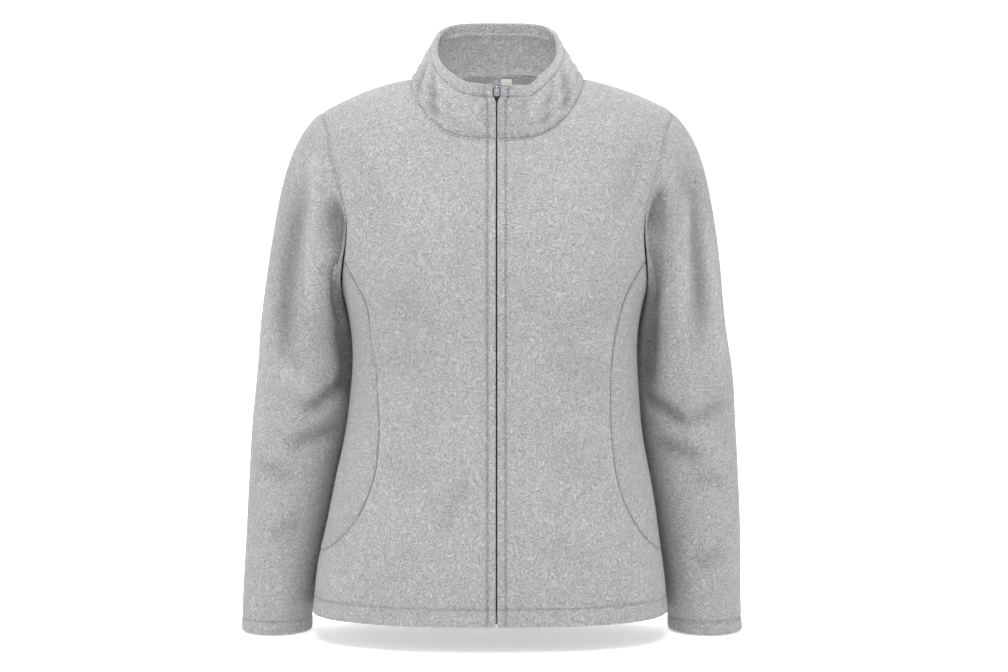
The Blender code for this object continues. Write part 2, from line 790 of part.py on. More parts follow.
def shape_collar(points, base, shares):
    """Bulges and creases the collar's face, except beside the zip, which holds it flat."""
    normals = grid_normals(points, False, np.array(COLLAR_MIDDLE))
    turns = np.degrees(np.arctan2(base[:, 0], -base[:, 1]))
    for i, share in enumerate(shares):
        bulge = COLLAR_BULGE * math.sin(math.pi * share)
        for j, turn in enumerate(turns):
            free = smooth((abs(turn) - ZIP_STIFF[0]) / (ZIP_STIFF[1] - ZIP_STIFF[0]))
            points[i, j] += normals[i, j] * free * (bulge + collar_crease(turn, share))


def make_collar(shade):
    base, body = neck_ring()
    tops = collar_tops(base)
    leave = tops - base
    leave /= np.linalg.norm(leave, axis=1)[:, None]
    off = edge_frame(base, body, np.array(NECK_MIDDLE))
    start = seam_start(base, body, off, leave)
    shares = collar_shares()
    points = np.array([start + (tops - start) * share for share in shares])
    part_zip_edges(points, shares)
    shape_collar(points, base, shares)
    normals = grid_normals(points, False, np.array(COLLAR_MIDDLE))
    normals[0] = seam_depth(normals[0], body, leave)
    depth = np.full(points.shape[:2], FLEECE)
    depth[-2:] = COLLAR_FOLDED
    depth[:, :3] = ZIP_FOLDED
    depth[:, -3:] = ZIP_FOLDED
    wall("collar", points, points - normals * depth[:, :, None], shade)
    return points, normals


def sleeve_ring(table, drop, sign):
    """Centre and half sizes of the sleeve at this distance below the shoulder line."""
    side = "left" if sign > 0 else "right"
    inner = table["inner_" + side](drop)
    outer = table["outer_" + side](drop)
    return (inner + outer) / 2, table["centre_y"](drop), (outer - inner) / 2, table["half_deep"](drop)


def around(ring, angle, drop, sign):
    centre_x, centre_y, half_wide, half_deep = ring
    x = centre_x + half_wide * math.cos(angle)
    return np.array([sign * x, centre_y - half_deep * math.sin(angle), -drop])


def arm_ring(side):
    """The armhole from the shoulder down the front, under the arm and up the back."""
    points, normals = [], []
    for half, places in (
        ("front", arm_line("front", side)[::-1]),
        ("back", arm_line("back", side)[1:-1]),
    ):
        for place in places:
            points.append(form(*place, half, side))
            normals.append(form_normal(*place, half, side))
    return np.array(points), np.array(normals)


def ring_angles(points):
    """An angle round the sleeve for each point of the armhole, by its share of the seam."""
    count = len(points)
    low = ARM_FOOT_STEPS + ARM_ROUND_STEPS + ARM_UPPER_STEPS
    steps = np.linalg.norm(np.roll(points, -1, 0) - points, axis=1)
    way = np.concatenate([[0.0], np.cumsum(steps)])
    angles = np.zeros(count)
    for k in range(count):
        if k <= low:
            angles[k] = math.pi * way[k] / way[low]
        else:
            angles[k] = math.pi * (1 + (way[k] - way[low]) / (way[count] - way[low]))
    return angles


def sleeve_fold(side, angle, drop):
    total = 0.0
    for name, turn, top, foot, rise, spread in SLEEVE_FOLDS:
        if name == side and top < drop < foot:
            along = math.sin(math.pi * (drop - top) / (foot - top)) ** 2
            total += rise * along * math.exp(-(((math.degrees(angle) - turn) / spread) ** 2))
    return total


def arm_leaves(seam, sign):
    """The direction in which the sleeve leaves each point of the armhole, and how high that is."""
    top, low = seam[0, 2], seam[:, 2].min()
    high = np.clip((seam[:, 2] - low) / (top - low), 0, 1)
    out = ARM_LEAVES_OUT[0] + ARM_LEAVES_OUT[1] * high ** ARM_LEAVES_OUT[2]
    down = ARM_LEAVES_DOWN[0] + ARM_LEAVES_DOWN[1] * high ** ARM_LEAVES_DOWN[2]
    leave = np.stack([sign * out, 0 * high, -down], axis=1)
    return leave / np.linalg.norm(leave, axis=1)[:, None], high


def arm_start(seam, body, leave, sign):
    """The sleeve's first ring, half a gap from the armhole."""
    closed = np.concatenate([seam[-2:], seam, seam[:2]])
    closed_body = np.concatenate([body[-2:], body, body[:2]])
    off = edge_frame(closed, closed_body, np.array([sign * ARM_MIDDLE[0], *ARM_MIDDLE[1:]]))[2:-2]
    return seam_start(seam, body, off, leave)


def root_rows(start, leave, high, angles, table, first, sign):
    """Rings from the armhole to the biceps, each point on a smooth curve between the two."""
    ring = sleeve_ring(table, first, sign)
    below = sleeve_ring(table, first + 0.01, sign)
    rows = []
    for t in np.linspace(0.0, 1.0, SLEEVE_ROOT_ROWS + 1) ** ARM_ROOT_SPREAD:
        row = []
        for k, angle in enumerate(angles):
            end = around(ring, angle, first, sign)
            onward = unit(around(below, angle, first + 0.01, sign) - end)
            long = np.linalg.norm(end - start[k])
            early = long * (ARM_REACH[0] + (ARM_REACH[1] - ARM_REACH[0]) * high[k])
            a = 2 * t**3 - 3 * t**2 + 1
            b = t**3 - 2 * t**2 + t
            c = -2 * t**3 + 3 * t**2
            d = t**3 - t**2
            row.append(a * start[k] + b * leave[k] * early + c * end + d * onward * long * ARM_LATE)
        rows.append(row)
    return rows


def make_sleeve(side, shade):
    sign = 1 if side == "left" else -1
    drops = column(SLEEVE, SLEEVE_COLUMNS, "drop")
    table = {name: spline(drops, column(SLEEVE, SLEEVE_COLUMNS, name)) for name in SLEEVE_COLUMNS[1:]}
    seam, body = arm_ring(side)
    angles = ring_angles(seam)
    leave, high = arm_leaves(seam, sign)
    rows = root_rows(arm_start(seam, body, leave, sign), leave, high, angles, table, drops[0], sign)
    cuff = drops[-1]
    lower = list(np.linspace(drops[0], cuff - CUFF_DEPTH * FOLD_ENDS[1], SLEEVE_ROWS + 1)[1:])
    lower += [cuff - CUFF_DEPTH * FOLD_ENDS[0], cuff]
    for drop in lower:
        ring = sleeve_ring(table, drop, sign)
        rows.append([around(ring, angle, drop, sign) for angle in angles])
    points = np.array(rows)
    axis = points.mean(axis=1, keepdims=True)
    normals = grid_normals(points, True, axis)
    for i in range(1, len(points)):
        for j, angle in enumerate(angles):
            points[i, j] += normals[i, j] * sleeve_fold(side, angle, -float(points[i, j, 2]))
    normals = grid_normals(points, True, axis)
    normals[0] = seam_depth(normals[0], body, leave)
    depth = np.full(points.shape[:2], FLEECE)
    depth[-2:] = FOLDED
    wall("sleeve_" + side, points, points - normals * depth[:, :, None], shade, closed=True)


# Zip


def zip_column(fronts, collar, side):
    """Points and normals of the zip edge's three columns, from the hem to the collar's top."""
    points, normals = fronts[side]
    collar_points, collar_normals = collar
    pick = slice(0, 3) if side == "right" else slice(-1, -4, -1)
    up = np.concatenate([points[:, :3], collar_points[1:, pick]])
    out = np.concatenate([normals[:, :3], collar_normals[1:, pick]])
    bend = len(points) - 1
    both = normals[-1, :3] + collar_normals[0, pick]
    out[bend] = both / np.linalg.norm(both, axis=1)[:, None]
    return up, out


def make_tape(side, fronts, collar, shade):
    points, normals = zip_column(fronts, collar, side)
    sign = 1 if side == "left" else -1
    points = points.copy()
    normals = normals.copy()
    normals[:, :, 0] = 0.0
    normals /= np.linalg.norm(normals, axis=2)[:, :, None]
    points[:, :, 0] = sign * np.array(TAPE_COLUMNS)
    points[0] += (points[1] - points[0]) * TAPE_SHORT[0]
    points[-1] += (points[-2] - points[-1]) * TAPE_SHORT[1]
    depth = np.full((len(points), 1, 1), CHAIN_DEPTH)
    depth[len(fronts[side][0]) - 1] *= NECK_BEND
    outer = points - normals * depth
    wall("zip_tape_" + side, outer, outer - normals * TAPE_THICK, shade)


def make_chain(fronts, collar, top, shade):
    """The closed teeth as one plain strip, from the bottom box up to the slider."""
    points, normals = zip_column(fronts, collar, "left")
    centre = points[:, 0].copy()
    centre[:, 0] = 0.0
    out = normals[:, 0].copy()
    out[:, 0] = 0.0
    out /= np.linalg.norm(out, axis=1)[:, None]
    low = centre[0, 2] + BOX_UP[1] + SEAM_GAP
    heights = centre[:, 2]
    inside = heights[(heights > low + CHAIN_END_CLEAR) & (heights < top - CHAIN_END_CLEAR)]
    levels = np.concatenate([[low], inside, [top]])
    bend = heights[len(fronts["left"][0]) - 1]
    rows_out, rows_back = [], []
    for z in levels:
        at = np.array([0.0, np.interp(z, heights, centre[:, 1]), z])
        face = unit(np.array([0.0, np.interp(z, heights, out[:, 1]), np.interp(z, heights, out[:, 2])]))
        front = at - face * CHAIN_DEPTH * (NECK_BEND if z == bend else 1.0)
        across = np.array([CHAIN_HALF, 0.0, 0.0])
        rows_out.append([front - across, front, front + across])
        rows_back.append([point - face * CHAIN_THICK for point in rows_out[-1]])
    wall("zip_chain", np.array(rows_out), np.array(rows_back), shade)


def box(bm, x, y, z):
    """A box between pairs of values along each axis."""
    made = bmesh.ops.create_cube(bm, size=1.0)["verts"]
    middle = np.array([(x[0] + x[1]) / 2, (y[0] + y[1]) / 2, (z[0] + z[1]) / 2])
    size = np.array([x[1] - x[0], y[1] - y[0], z[1] - z[0]])
    for vert in made:
        vert.co = middle + size * np.array(vert.co)


def joined(name, boxes, shade, place, bevel=0.0):
    """Boxes united to one body, its edges rounded."""
    for k, bounds in enumerate(boxes):
        bm = bmesh.new()
        box(bm, *bounds)
        piece = add_object(name if k == 0 else name + "_piece", bm, shade)
        if k == 0:
            whole = piece
            continue
        union = whole.modifiers.new("union", "BOOLEAN")
        union.operation = "UNION"
        union.object = piece
        view = bpy.context.evaluated_depsgraph_get()
        mesh = bpy.data.meshes.new_from_object(whole.evaluated_get(view))
        whole.modifiers.clear()
        whole.data = mesh
        bpy.data.objects.remove(piece)
    if bevel:
        rounding = whole.modifiers.new("rounding", "BEVEL")
        rounding.width = bevel
        rounding.segments = 1
        rounding.limit_method = "ANGLE"
    whole.location = place
    return whole


def make_slider(place, shade):
    front = (-PLATE_GAP - PLATE_THICK, -PLATE_GAP)
    rear = (PLATE_GAP, PLATE_GAP + PLATE_THICK)
    wide = (-SLIDER_HALF_WIDE, SLIDER_HALF_WIDE)
    thin = (-BRIDGE_HALF, BRIDGE_HALF)
    bar = (-BRIDGE_DEPTH, -BRIDGE_DEPTH + BRIDGE_BAR)
    boxes = (
        (wide, front, (SLIDER_LOW, SLIDER_HIGH)),
        (wide, rear, (SLIDER_LOW, SLIDER_HIGH)),
        ((-CORE_HALF, CORE_HALF), (front[1] - JOIN, rear[0] + JOIN), (CORE_LOW, SLIDER_HIGH - JOIN)),
        (thin, (-PLATE_GAP, PLATE_GAP), (CORE_LOW + JOIN, BRIDGE_HIGH)),
        (thin, (bar[0], 0.0), (BRIDGE_HIGH - BRIDGE_BAR, BRIDGE_HIGH + JOIN)),
        (thin, bar, (BRIDGE_LOW, BRIDGE_HIGH)),
        (thin, (bar[0], front[1] - JOIN), (BRIDGE_LOW - JOIN, BRIDGE_LOW + BRIDGE_BAR)),
    )
    joined("zip_slider", boxes, shade, place)


def make_pull(place, shade):
    """The tab, drawn upright above its pivot and then leaned back over the collar's top."""
    thick = (-PULL_THICK / 2, PULL_THICK / 2)
    right = (-PULL_ARM[1], -PULL_ARM[0])
    left = PULL_ARM
    boxes = (
        (right, thick, (-PULL_THICK / 2, PULL_SLOT + JOIN)),
        (left, thick, (-PULL_THICK / 2, PULL_SLOT + JOIN)),
        ((right[1] - JOIN, left[0] + JOIN), thick, thick),
        ((right[0], left[1]), thick, (PULL_SLOT, PULL_LONG)),
    )
    pull = joined("zip_pull", boxes, shade, place)
    for vert in pull.data.vertices:
        if vert.co.z > PULL_LONG - JOIN:
            vert.co.x *= PULL_TIP_HALF / PULL_ARM[1]
    pull.rotation_euler = (-math.radians(PULL_LEAN), 0.0, 0.0)


def make_box(front, shade):
    """The bottom box, behind the foot of the zip edges."""
    low = front[0, 0]
    face = low[1] + CHAIN_DEPTH
    bounds = (
        (-BOX_HALF, BOX_HALF),
        (face, face + BOX_THICK),
        (low[2] + BOX_UP[0], low[2] + BOX_UP[1]),
    )
    joined("zip_box", (bounds,), shade, (0.0, 0.0, 0.0), bevel=BOX_ROUND)


def make_label(shade):
    rows = []
    directions = []
    for z in np.linspace(*LABEL_Z, LABEL_ROWS):
        places = [place_at(x, z, "back", "left") for x in np.linspace(*LABEL_X, LABEL_COLUMNS)]
        rows.append([form(*place, "back", "left") for place in places])
        directions.append([form_normal(*place, "back", "left") for place in places])
    points, normals = np.array(rows), np.array(directions)
    outer = points - normals * (FLEECE + LABEL_CLEAR)
    wall("neck_label", outer, outer - normals * LABEL_THICK, shade)


def main():
    for old in list(bpy.data.objects):
        bpy.data.objects.remove(old)
    fleece = material("fleece", (0.52, 0.52, 0.53), 0.95)
    tape = material("zip_tape", (0.16, 0.16, 0.17), 0.85)
    teeth = material("zip_teeth", (0.10, 0.10, 0.11), 0.5)
    metal = material("zip_metal", (0.62, 0.63, 0.65), 0.25, 1.0)
    woven = material("label_cloth", (0.86, 0.85, 0.80), 0.8)
    fronts = {}
    for side in ("right", "left"):
        fronts[side] = make_front(side, fleece)
        make_side_front(side, fleece)
        make_sleeve(side, fleece)
    make_back(fleece)
    collar = make_collar(fleece)
    for side in ("right", "left"):
        make_tape(side, fronts, collar, tape)
    top = collar[0][-1, 0]
    behind = top[1] + CHAIN_DEPTH + CHAIN_THICK / 2
    slider = np.array([0.0, behind, top[2] - SLIDER_BELOW_TOP])
    make_chain(fronts, collar, slider[2] + CORE_LOW - SEAM_GAP, teeth)
    make_slider(slider, metal)
    make_pull(slider + np.array([0.0, -PIVOT_DEPTH, PIVOT_UP]), metal)
    make_box(fronts["left"][0], metal)
    make_label(woven)


main()
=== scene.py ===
"""The looks of the fleece zip jacket: heather fleece, sewn seams, a toothed zip and a blank label.

Metres, +Z up, the front faces -Y. Every cloth piece is drawn again on the frame's own form, finer
than its solid, with rolled seams, stitching and soft creases.
"""

import math

import bmesh
import bpy
import mathutils
import numpy as np
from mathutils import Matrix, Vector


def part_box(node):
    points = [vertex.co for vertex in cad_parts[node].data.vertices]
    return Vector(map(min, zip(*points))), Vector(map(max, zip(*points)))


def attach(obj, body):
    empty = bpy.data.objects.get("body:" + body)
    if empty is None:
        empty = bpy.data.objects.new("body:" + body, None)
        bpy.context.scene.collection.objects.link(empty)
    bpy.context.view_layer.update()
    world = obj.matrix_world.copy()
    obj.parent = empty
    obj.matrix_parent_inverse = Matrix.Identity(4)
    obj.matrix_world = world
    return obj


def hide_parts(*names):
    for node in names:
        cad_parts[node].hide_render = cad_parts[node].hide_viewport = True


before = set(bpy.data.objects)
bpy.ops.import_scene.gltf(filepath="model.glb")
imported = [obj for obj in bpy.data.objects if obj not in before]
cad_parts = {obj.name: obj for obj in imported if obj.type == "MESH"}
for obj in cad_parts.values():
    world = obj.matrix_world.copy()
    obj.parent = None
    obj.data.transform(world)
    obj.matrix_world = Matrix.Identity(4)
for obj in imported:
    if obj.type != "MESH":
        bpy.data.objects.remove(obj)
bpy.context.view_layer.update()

# Cloth and seams, as in the frame
FLEECE = 0.0026
FOLDED = 0.0042  # where a hem is turned under
ZIP_FOLDED = 0.0034
COLLAR_FOLDED = 0.0060
SEAM_GAP = 0.0003
HEM_DEPTH = 0.020
CUFF_DEPTH = 0.015
FOLD_GIVES_OUT = (0.96, 0.16)  # shares of a hem's depth: where the double cloth ends, and over what
ZIP_FOLD = 0.0100
ZIP_FOLD_SOFT = {"front": 0.003, "collar": 0.006}  # over which the pressed zip edge thickens
SEAM_LIFT = 0.6
SEAM_VALLEY = 0.35

# The body's form: rings at these heights below the shoulder line
SECTION_COLUMNS = ("height", "out_right", "out_left", "front", "back", "square")
SECTIONS = (
    (0.616, 0.2125, 0.1965, 0.119, 0.112, 2.40),
    (0.560, 0.2065, 0.1925, 0.120, 0.111, 2.35),
    (0.500, 0.1940, 0.1840, 0.119, 0.108, 2.30),
    (0.440, 0.1815, 0.1735, 0.116, 0.102, 2.30),
    (0.380, 0.1705, 0.1645, 0.113, 0.095, 2.30),
    (0.325, 0.1655, 0.1610, 0.115, 0.092, 2.30),
    (0.280, 0.1700, 0.1645, 0.123, 0.097, 2.35),
    (0.240, 0.1790, 0.1730, 0.129, 0.104, 2.45),
    (0.195, 0.1880, 0.1840, 0.127, 0.109, 2.65),
    (0.150, 0.1960, 0.1940, 0.118, 0.110, 2.90),
    (0.105, 0.2050, 0.2040, 0.103, 0.106, 3.10),
    (0.065, 0.2140, 0.2140, 0.084, 0.093, 3.20),
    (0.033, 0.2200, 0.2200, 0.062, 0.071, 3.20),
    (0.011, 0.2240, 0.2240, 0.037, 0.043, 3.20),
    (0.000, 0.2250, 0.2250, 0.000, 0.000, 3.20),
)
SIDE_SEAM_Y = 0.004
SHOULDER_FLAT = 0.095
SHOULDER_FALL = 1.09
SHOULDER_CURVE = 1.5
NAPE_RISE = 0.040
THROAT_DIP = 0.008
SLOPED_ABOVE = 0.060
LEVEL_BELOW = 0.240
# Searches on the form: halvings, the lowest place looked at, and where its upper part starts
HALVINGS = 34
SEARCH_LOW = 0.7
UPPER_FORM = 0.20
# Steps along the form over which its outward direction is taken, and how near the top is the top
TURN_STEP = 0.01
LEVEL_STEP = 0.02
TOP_SHY = 0.001
TOP_NEAR = 0.05
NECK_HALF = 0.101
NECK_DEEP = {"front": 0.0890, "back": 0.0640}
NECK_SQUARE = {"front": 3.3, "back": 2.3}
SHOULDER_X = 0.203
UNDERARM = 0.242
ARM_ROUND = 0.100
ARM_TURN = {"front": 50.5, "back": 53.0}

POCKET_COLUMNS = ("height", "right", "left")
POCKET_SEAM = (
    (0.242, 0.1565, 0.1500),
    (0.260, 0.1470, 0.1420),
    (0.285, 0.1425, 0.1350),
    (0.310, 0.1405, 0.1300),
    (0.333, 0.1358, 0.1283),
    (0.362, 0.1325, 0.1268),
    (0.395, 0.1300, 0.1262),
    (0.425, 0.1310, 0.1285),
    (0.455, 0.1350, 0.1330),
    (0.480, 0.1438, 0.1405),
    (0.502, 0.1560, 0.1510),
    (0.522, 0.1720, 0.1640),
    (0.538, 0.1900, 0.1800),
)
POCKET_FOOT = 0.546
POCKET_FOOT_WIDE = 0.004
POCKET_FOOT_DROP = 0.014
POCKET_PROUD = 0.0012
POCKET_MOUTH = (0.300, 0.500)
POCKET_EDGE = 0.006
# Painted highlight beside the pocket seam: strength, distance from the seam, width
POCKET_PAINTED_HIGHLIGHT = 0.10
POCKET_HIGHLIGHT_AT = 0.0028
POCKET_HIGHLIGHT_WIDE = 0.0014
METRES_A_TURN = 0.15
METRES_A_LEVEL = 0.05

SLEEVE_COLUMNS = ("drop", "inner_right", "outer_right", "inner_left", "outer_left", "centre_y", "half_deep")
SLEEVE = (
    (0.300, 0.1680, 0.2760, 0.1635, 0.2690, 0.019, 0.0580),
    (0.345, 0.1657, 0.2812, 0.1615, 0.2760, 0.025, 0.0560),
    (0.385, 0.1703, 0.2862, 0.1645, 0.2790, 0.031, 0.0545),
    (0.440, 0.1815, 0.2908, 0.1738, 0.2830, 0.034, 0.0520),
    (0.496, 0.1944, 0.2950, 0.1840, 0.2855, 0.034, 0.0500),
    (0.559, 0.2072, 0.2975, 0.1945, 0.2870, 0.034, 0.0480),
    (0.605, 0.2157, 0.2990, 0.1995, 0.2878, 0.032, 0.0465),
    (0.643, 0.2183, 0.3001, 0.2014, 0.2887, 0.030, 0.0460),
)
ARM_MIDDLE = (0.300, 0.004, -0.140)
ARM_LEAVES_OUT = (0.10, 0.62, 1.3)
ARM_LEAVES_DOWN = (1.00, -0.42, 1.5)
ARM_REACH = (0.30, 0.80)
ARM_LATE = 0.90
ARM_ROOT_SPREAD = 1.25
ARM_ROOT_STEP = 0.01  # down the sleeve, to see which way it goes on

NECK_MIDDLE = (0.0, 0.0, 0.1)
COLLAR_MIDDLE = (0.0, -0.005, 0.0)
COLLAR_TOP_HALF = 0.0715
COLLAR_TOP_FRONT = 0.0850
COLLAR_TOP_BACK = 0.0580
COLLAR_WIDEST_Y = 0.0170
COLLAR_FRONT_SQUARE = 2.2
COLLAR_BACK_SQUARE = 3.4
COLLAR_TOP_Z = 0.0370
COLLAR_TOP_SLOPE = 0.680
COLLAR_SAG = (24.0, 11.0, 0.0045)
COLLAR_BULGE = 0.0020
COLLAR_FOLD_ENDS = (0.40, 0.94)
ZIP_STIFF = (9.0, 30.0)
ZIP_EDGE = 0.0007
ZIP_FLAT = 0.0125
ZIP_PARTED = 0.0042
ZIP_PARTED_OVER = (0.66, 0.80)
ZIP_PARTED_SHARES = (1.0, 0.55, 0.5)
ZIP_PARTED_FADE = 0.045

# Fineness: steps along each seam line
FINE_FORM = 4001
FINE_NECK = 200
FINE_EDGE = 400
FINE_CHAIN = 400
FOOT_ROWS = 8
NECK_STEPS = 26
SHOULDER_STEPS = 22
ARM_FOOT_STEPS = 14
ARM_ROUND_STEPS = 12
ARM_UPPER_STEPS = 26
POCKET_STEPS = 64
SLEEVE_ROOT_STEPS = 34
SLEEVE_STEPS = 64
# Extra rows beside a seam, in shares of the first step
SEAM_SHARES = (0.03, 0.11, 0.24, 0.50)
# Columns beside the zip and rows above the hem, in metres: a rounded edge, and a stitched line
ZIP_LINES = (0.0007, 0.0009, 0.0013, 0.0022, 0.0045, 0.0072, 0.0088, 0.0096, 0.0103, 0.0111, 0.0125, 0.0150)
ZIP_STITCH = ZIP_LINES.index(0.0096)
HEM_LINES = (0.0, 0.0003, 0.0010, 0.0022, 0.0050, 0.0090, 0.0140, 0.0178, 0.0192, 0.0200, 0.0208, 0.0222)
HEM_MORE = (0.0255, 0.0300)
HEM_STITCH = HEM_LINES.index(HEM_DEPTH)

# How the cloth rolls, dips and puffs
SEAM_ROUND = 0.0013
ZIP_ROUND = 0.0011
TURNED_ROUND = 0.45  # of the wall's thickness, on a turned edge
INSIDE_ROUND = 0.42  # of it at most, on the inner side
SEAM_DIP = 0.0009
SEAM_DIP_WIDE = 0.0036
SEAM_PUFF = 0.0005
SEAM_PUFF_AT = 0.0080
SEAM_PUFF_WIDE = 0.0045
STITCH_DIP = 0.0013
STITCH_DIP_WIDE = 0.0013
ZIP_STITCH_DIP = 1.5  # its groove is this much deeper
# Slow unevenness: its height, its waves and their numbers a metre, and each piece's random seed
UNEVEN = 0.0009
WAVES = 7
WAVE_NUMBERS = (28.0, 75.0)
SEEDS = {"front": 11, "back": 23, "collar": 5, "sleeve": 31}
SMOOTH_FROM_ZIP = 0.020  # over which creases start beside the zip
SLEEVE_EVEN_OVER = 0.02  # and unevenness below the armhole
SLEEVE_INSIDE = (0.4, 0.6)  # where the sleeve's inner side starts, and how much calmer it is
# Painted light and shade in the fleece's colour: each piece's own lightness, painted darker on the sleeves
# and side fronts and lighter on the collar, and how much painted shade a crease's trough takes and painted
# highlight its ridge
PAINTED_LIGHT_BY_PIECE = {"front": 1.0, "side_front": 0.98, "back": 1.0, "collar": 1.06, "sleeve": 0.97}
CREASE_PAINTED_SHADE = {"front": 0.12, "side_front": 0.10, "back": 0.16, "collar": 0.26, "sleeve": 0.42}
# Painted light on the inner side of every piece, which lifts the shade inside the collar
INSIDE_PAINTED_LIGHT = 1.03
# Painted shade in stitched grooves
STITCH_SHADE = 0.15
# Painted shade along sewn seams: its strength and width
SEAM_SHADE = 0.34
SEAM_SHADE_WIDE = 0.0013
# Crease height at which its painted shade and highlight are full, and the clip of them
PAINTED_SHADE_FULL_AT = 0.0050
PAINTED_SHADE_CLIP = (-1.0, 0.3)
# A hem's waviness: height, how far up it reaches, and its waves: number, share, shift
PUCKER = 0.0004
PUCKER_WIDE = 0.012
PUCKER_WAVES = ((330.0, 1.0, 0.0), (710.0, 0.7, 1.3), (173.0, 0.5, 0.4))
SEAM_TURN = 0.012
# What fills a seam behind its groove, the cloth turned in, as a cord: depth, half thickness
ALLOWANCES = {
    "neck": (0.0024, 0.0019),
    "arm": (0.0021, 0.0012),
    "plain": (0.0022, 0.0009),
    "pocket": (0.0027, 0.0008),
}
ALLOWANCE_SIDES = 6
CUFF_LINES = (0.0, 0.0003, 0.0010, 0.0022, 0.0050, 0.0080, 0.0106, 0.0130, 0.0142, 0.0150, 0.0158, 0.0172)
CUFF_MORE = (0.0205, 0.0255)
CUFF_STITCH = CUFF_LINES.index(CUFF_DEPTH)
COLLAR_STITCH = 0.77
COLLAR_SHARES = (
    *(0.0, 0.0025, 0.010, 0.020, 0.045, 0.080, 0.125, 0.175, 0.225, 0.275, 0.325, 0.375, 0.425, 0.475),
    *(0.525, 0.575, 0.625, 0.675, 0.715, 0.742, 0.757, 0.765, COLLAR_STITCH, 0.775, 0.783, 0.800),
    *(0.835, 0.875, 0.910, 0.938, 0.955, 0.967, 0.978, 0.987, 0.994, 0.998, 1.0),
)
RING_ENDS = 14.0

# Stitches: a row of the form is (share of its length, depth in the cloth, thickness)
STITCH_PITCH = 0.0033
STITCH_LONG = 0.0026
THREAD = 0.00028
THREAD_SIDES = 5
STITCH_FORM = (
    (-0.5, 0.0005, 0.6),
    (-0.28, 0.0, 1.0),
    (0.0, -0.0001, 1.1),
    (0.28, 0.0, 1.0),
    (0.5, 0.0005, 0.6),
)

# Zip, in metres
CHAIN_DEPTH = ZIP_FOLDED + SEAM_GAP
CHAIN_THICK = 0.0016
TAPE_REACH = (0.0027, 0.0125)
TAPE_END = 0.0003  # how far each is from the middle below the bottom box
TAPE_MEETS = 0.003  # over which they draw together there
TAPE_STEPS = 7
TAPE_THICK = 0.0008
BEND_ROWS = 6
BEND_PASSES = 10
TOOTH_PITCH = 0.0016
CORD_HALF = 0.0023
CORD_THICK = 0.0003
TOOTH_SIDES = 6
# A tooth, from the tape past the middle line: reach, half height, half depth
TOOTH_FORM = (
    (0.0024, 0.00030, 0.00050),
    (0.0021, 0.00042, 0.00068),
    (0.0007, 0.00040, 0.00070),
    (-0.0003, 0.00036, 0.00078),
    (-0.0007, 0.00020, 0.00045),
)
OUTLINE_STEPS = 28
JOIN = 0.0002
SLIDER_PLACE = (0.0, -0.0805, -0.02934)
SLIDER_HALF = 0.0033
SLIDER_LOW = -0.0048
SLIDER_HIGH = 0.0040
SLIDER_SQUARE = 2.9
SLIDER_NARROW = -0.12
SLIDER_ROUND = 0.00035
PLATE_GAP = 0.0011
PLATE_THICK = 0.0012
CORE_HALF = 0.0012
CORE_LOW = 0.0015
CORE_SHORT = 0.0004
CORE_SQUARE = 2.4
BRIDGE_HALF = 0.0008
BRIDGE_THICK = 0.0004
BRIDGE_SIDES = 8
BRIDGE_SQUARE = 3.0
BRIDGE_ROUND = 0.0001
# The bridge's middle line from the core over the pull and back to the front plate: (y, z)
BRIDGE_PATH = (
    *((0.0, 0.0030), (-0.0002, 0.0048), (-0.0012, 0.0057), (-0.0032, 0.0060), (-0.0048, 0.0056)),
    *((-0.0056, 0.0045), (-0.0058, 0.0020), (-0.0055, 0.0001), (-0.0045, -0.0009), (-0.0030, -0.0013)),
    (-0.0020, -0.0013),
)
PULL_PIVOT = (0.0, -0.0851, -0.0250385)
PULL_HALF = 0.0025
PULL_THICK = 0.0009
PULL_LONG = 0.0160
PULL_NARROW = 0.20
PULL_SLOT_HALF = 0.0013
PULL_SLOT = 0.0066
PULL_SQUARE = 3.2
PULL_SLOT_SQUARE = 3.0
PULL_LEAN = 50.0
PULL_ROUND = 0.00025
BOX_SQUARE = 5.0
BOX_ROUND = 0.0003
BUTTON_RISE = 0.0002
BUTTON_SHARE = 0.6
BUTTON_SQUARE = 3.0
BEVEL_SEGMENTS = 3
BEVEL_ABOVE = 40.0
LABEL_X = (0.004, 0.018)
LABEL_Z = (-0.018, 0.0135)
LABEL_THICK = 0.0006
LABEL_CLEAR = 0.0009
LABEL_STEPS = 9

# The angles in degrees above which an edge is drawn sharp
SHARP = {"cloth": 180.0, "thread": 80.0, "teeth": 60.0, "metal": 35.0}

# The cut of each piece: flat width and length in metres, and its area in square metres
CUTS = {
    "front": ((0.225, 0.650), 0.110),
    "side_front": ((0.105, 0.345), 0.0285),
    "back": ((0.475, 0.640), 0.284),
    "sleeve": ((0.370, 0.626), 0.170),
    "collar": ((0.470, 0.080), 0.0350),
    "tape": ((0.0102, 0.620), None),
    "label": ((0.014, 0.041), None),
}

# Colours of the fleece, as grey values
FLEECE_TONES = {"fibres": 0.195, "dark": 0.39, "light": 0.43, "tips": 0.66}
# Its curls: noise scale a metre, bands in its range, and the bending of it all
CURL_SCALE = 112.0
CURL_TURNS = 4.8
BEND_SCALE = 260.0
BEND_REACH = 0.0030
# Strokes along them: name, scale beside the curls', seed, and scale of the noise that breaks them
STROKES = (("light", 1.0, 0.0, 620.0), ("dark", 1.23, 3.1, 540.0))
STROKE_GAPS = (0.42, 0.56, 0.12)  # noise at which a stroke is gone and whole, and what stays of it
STROKE_THIN = 0.30
STROKE_TONE = 0.58
DARK_DEPTH = 0.7
# Finer curls and single fibres, which only the bump has: noise scale and share of the height
FINE_SCALE = 330.0
FINE_SEED = 7.7
FINE_SHARE = 0.45
FIBRE_SCALE = 1900.0
FIBRE_SHARE = 0.50
MOTTLE_SCALE = 95.0
HEATHER_SCALE = 640.0
HEATHER_SHARE = 0.35
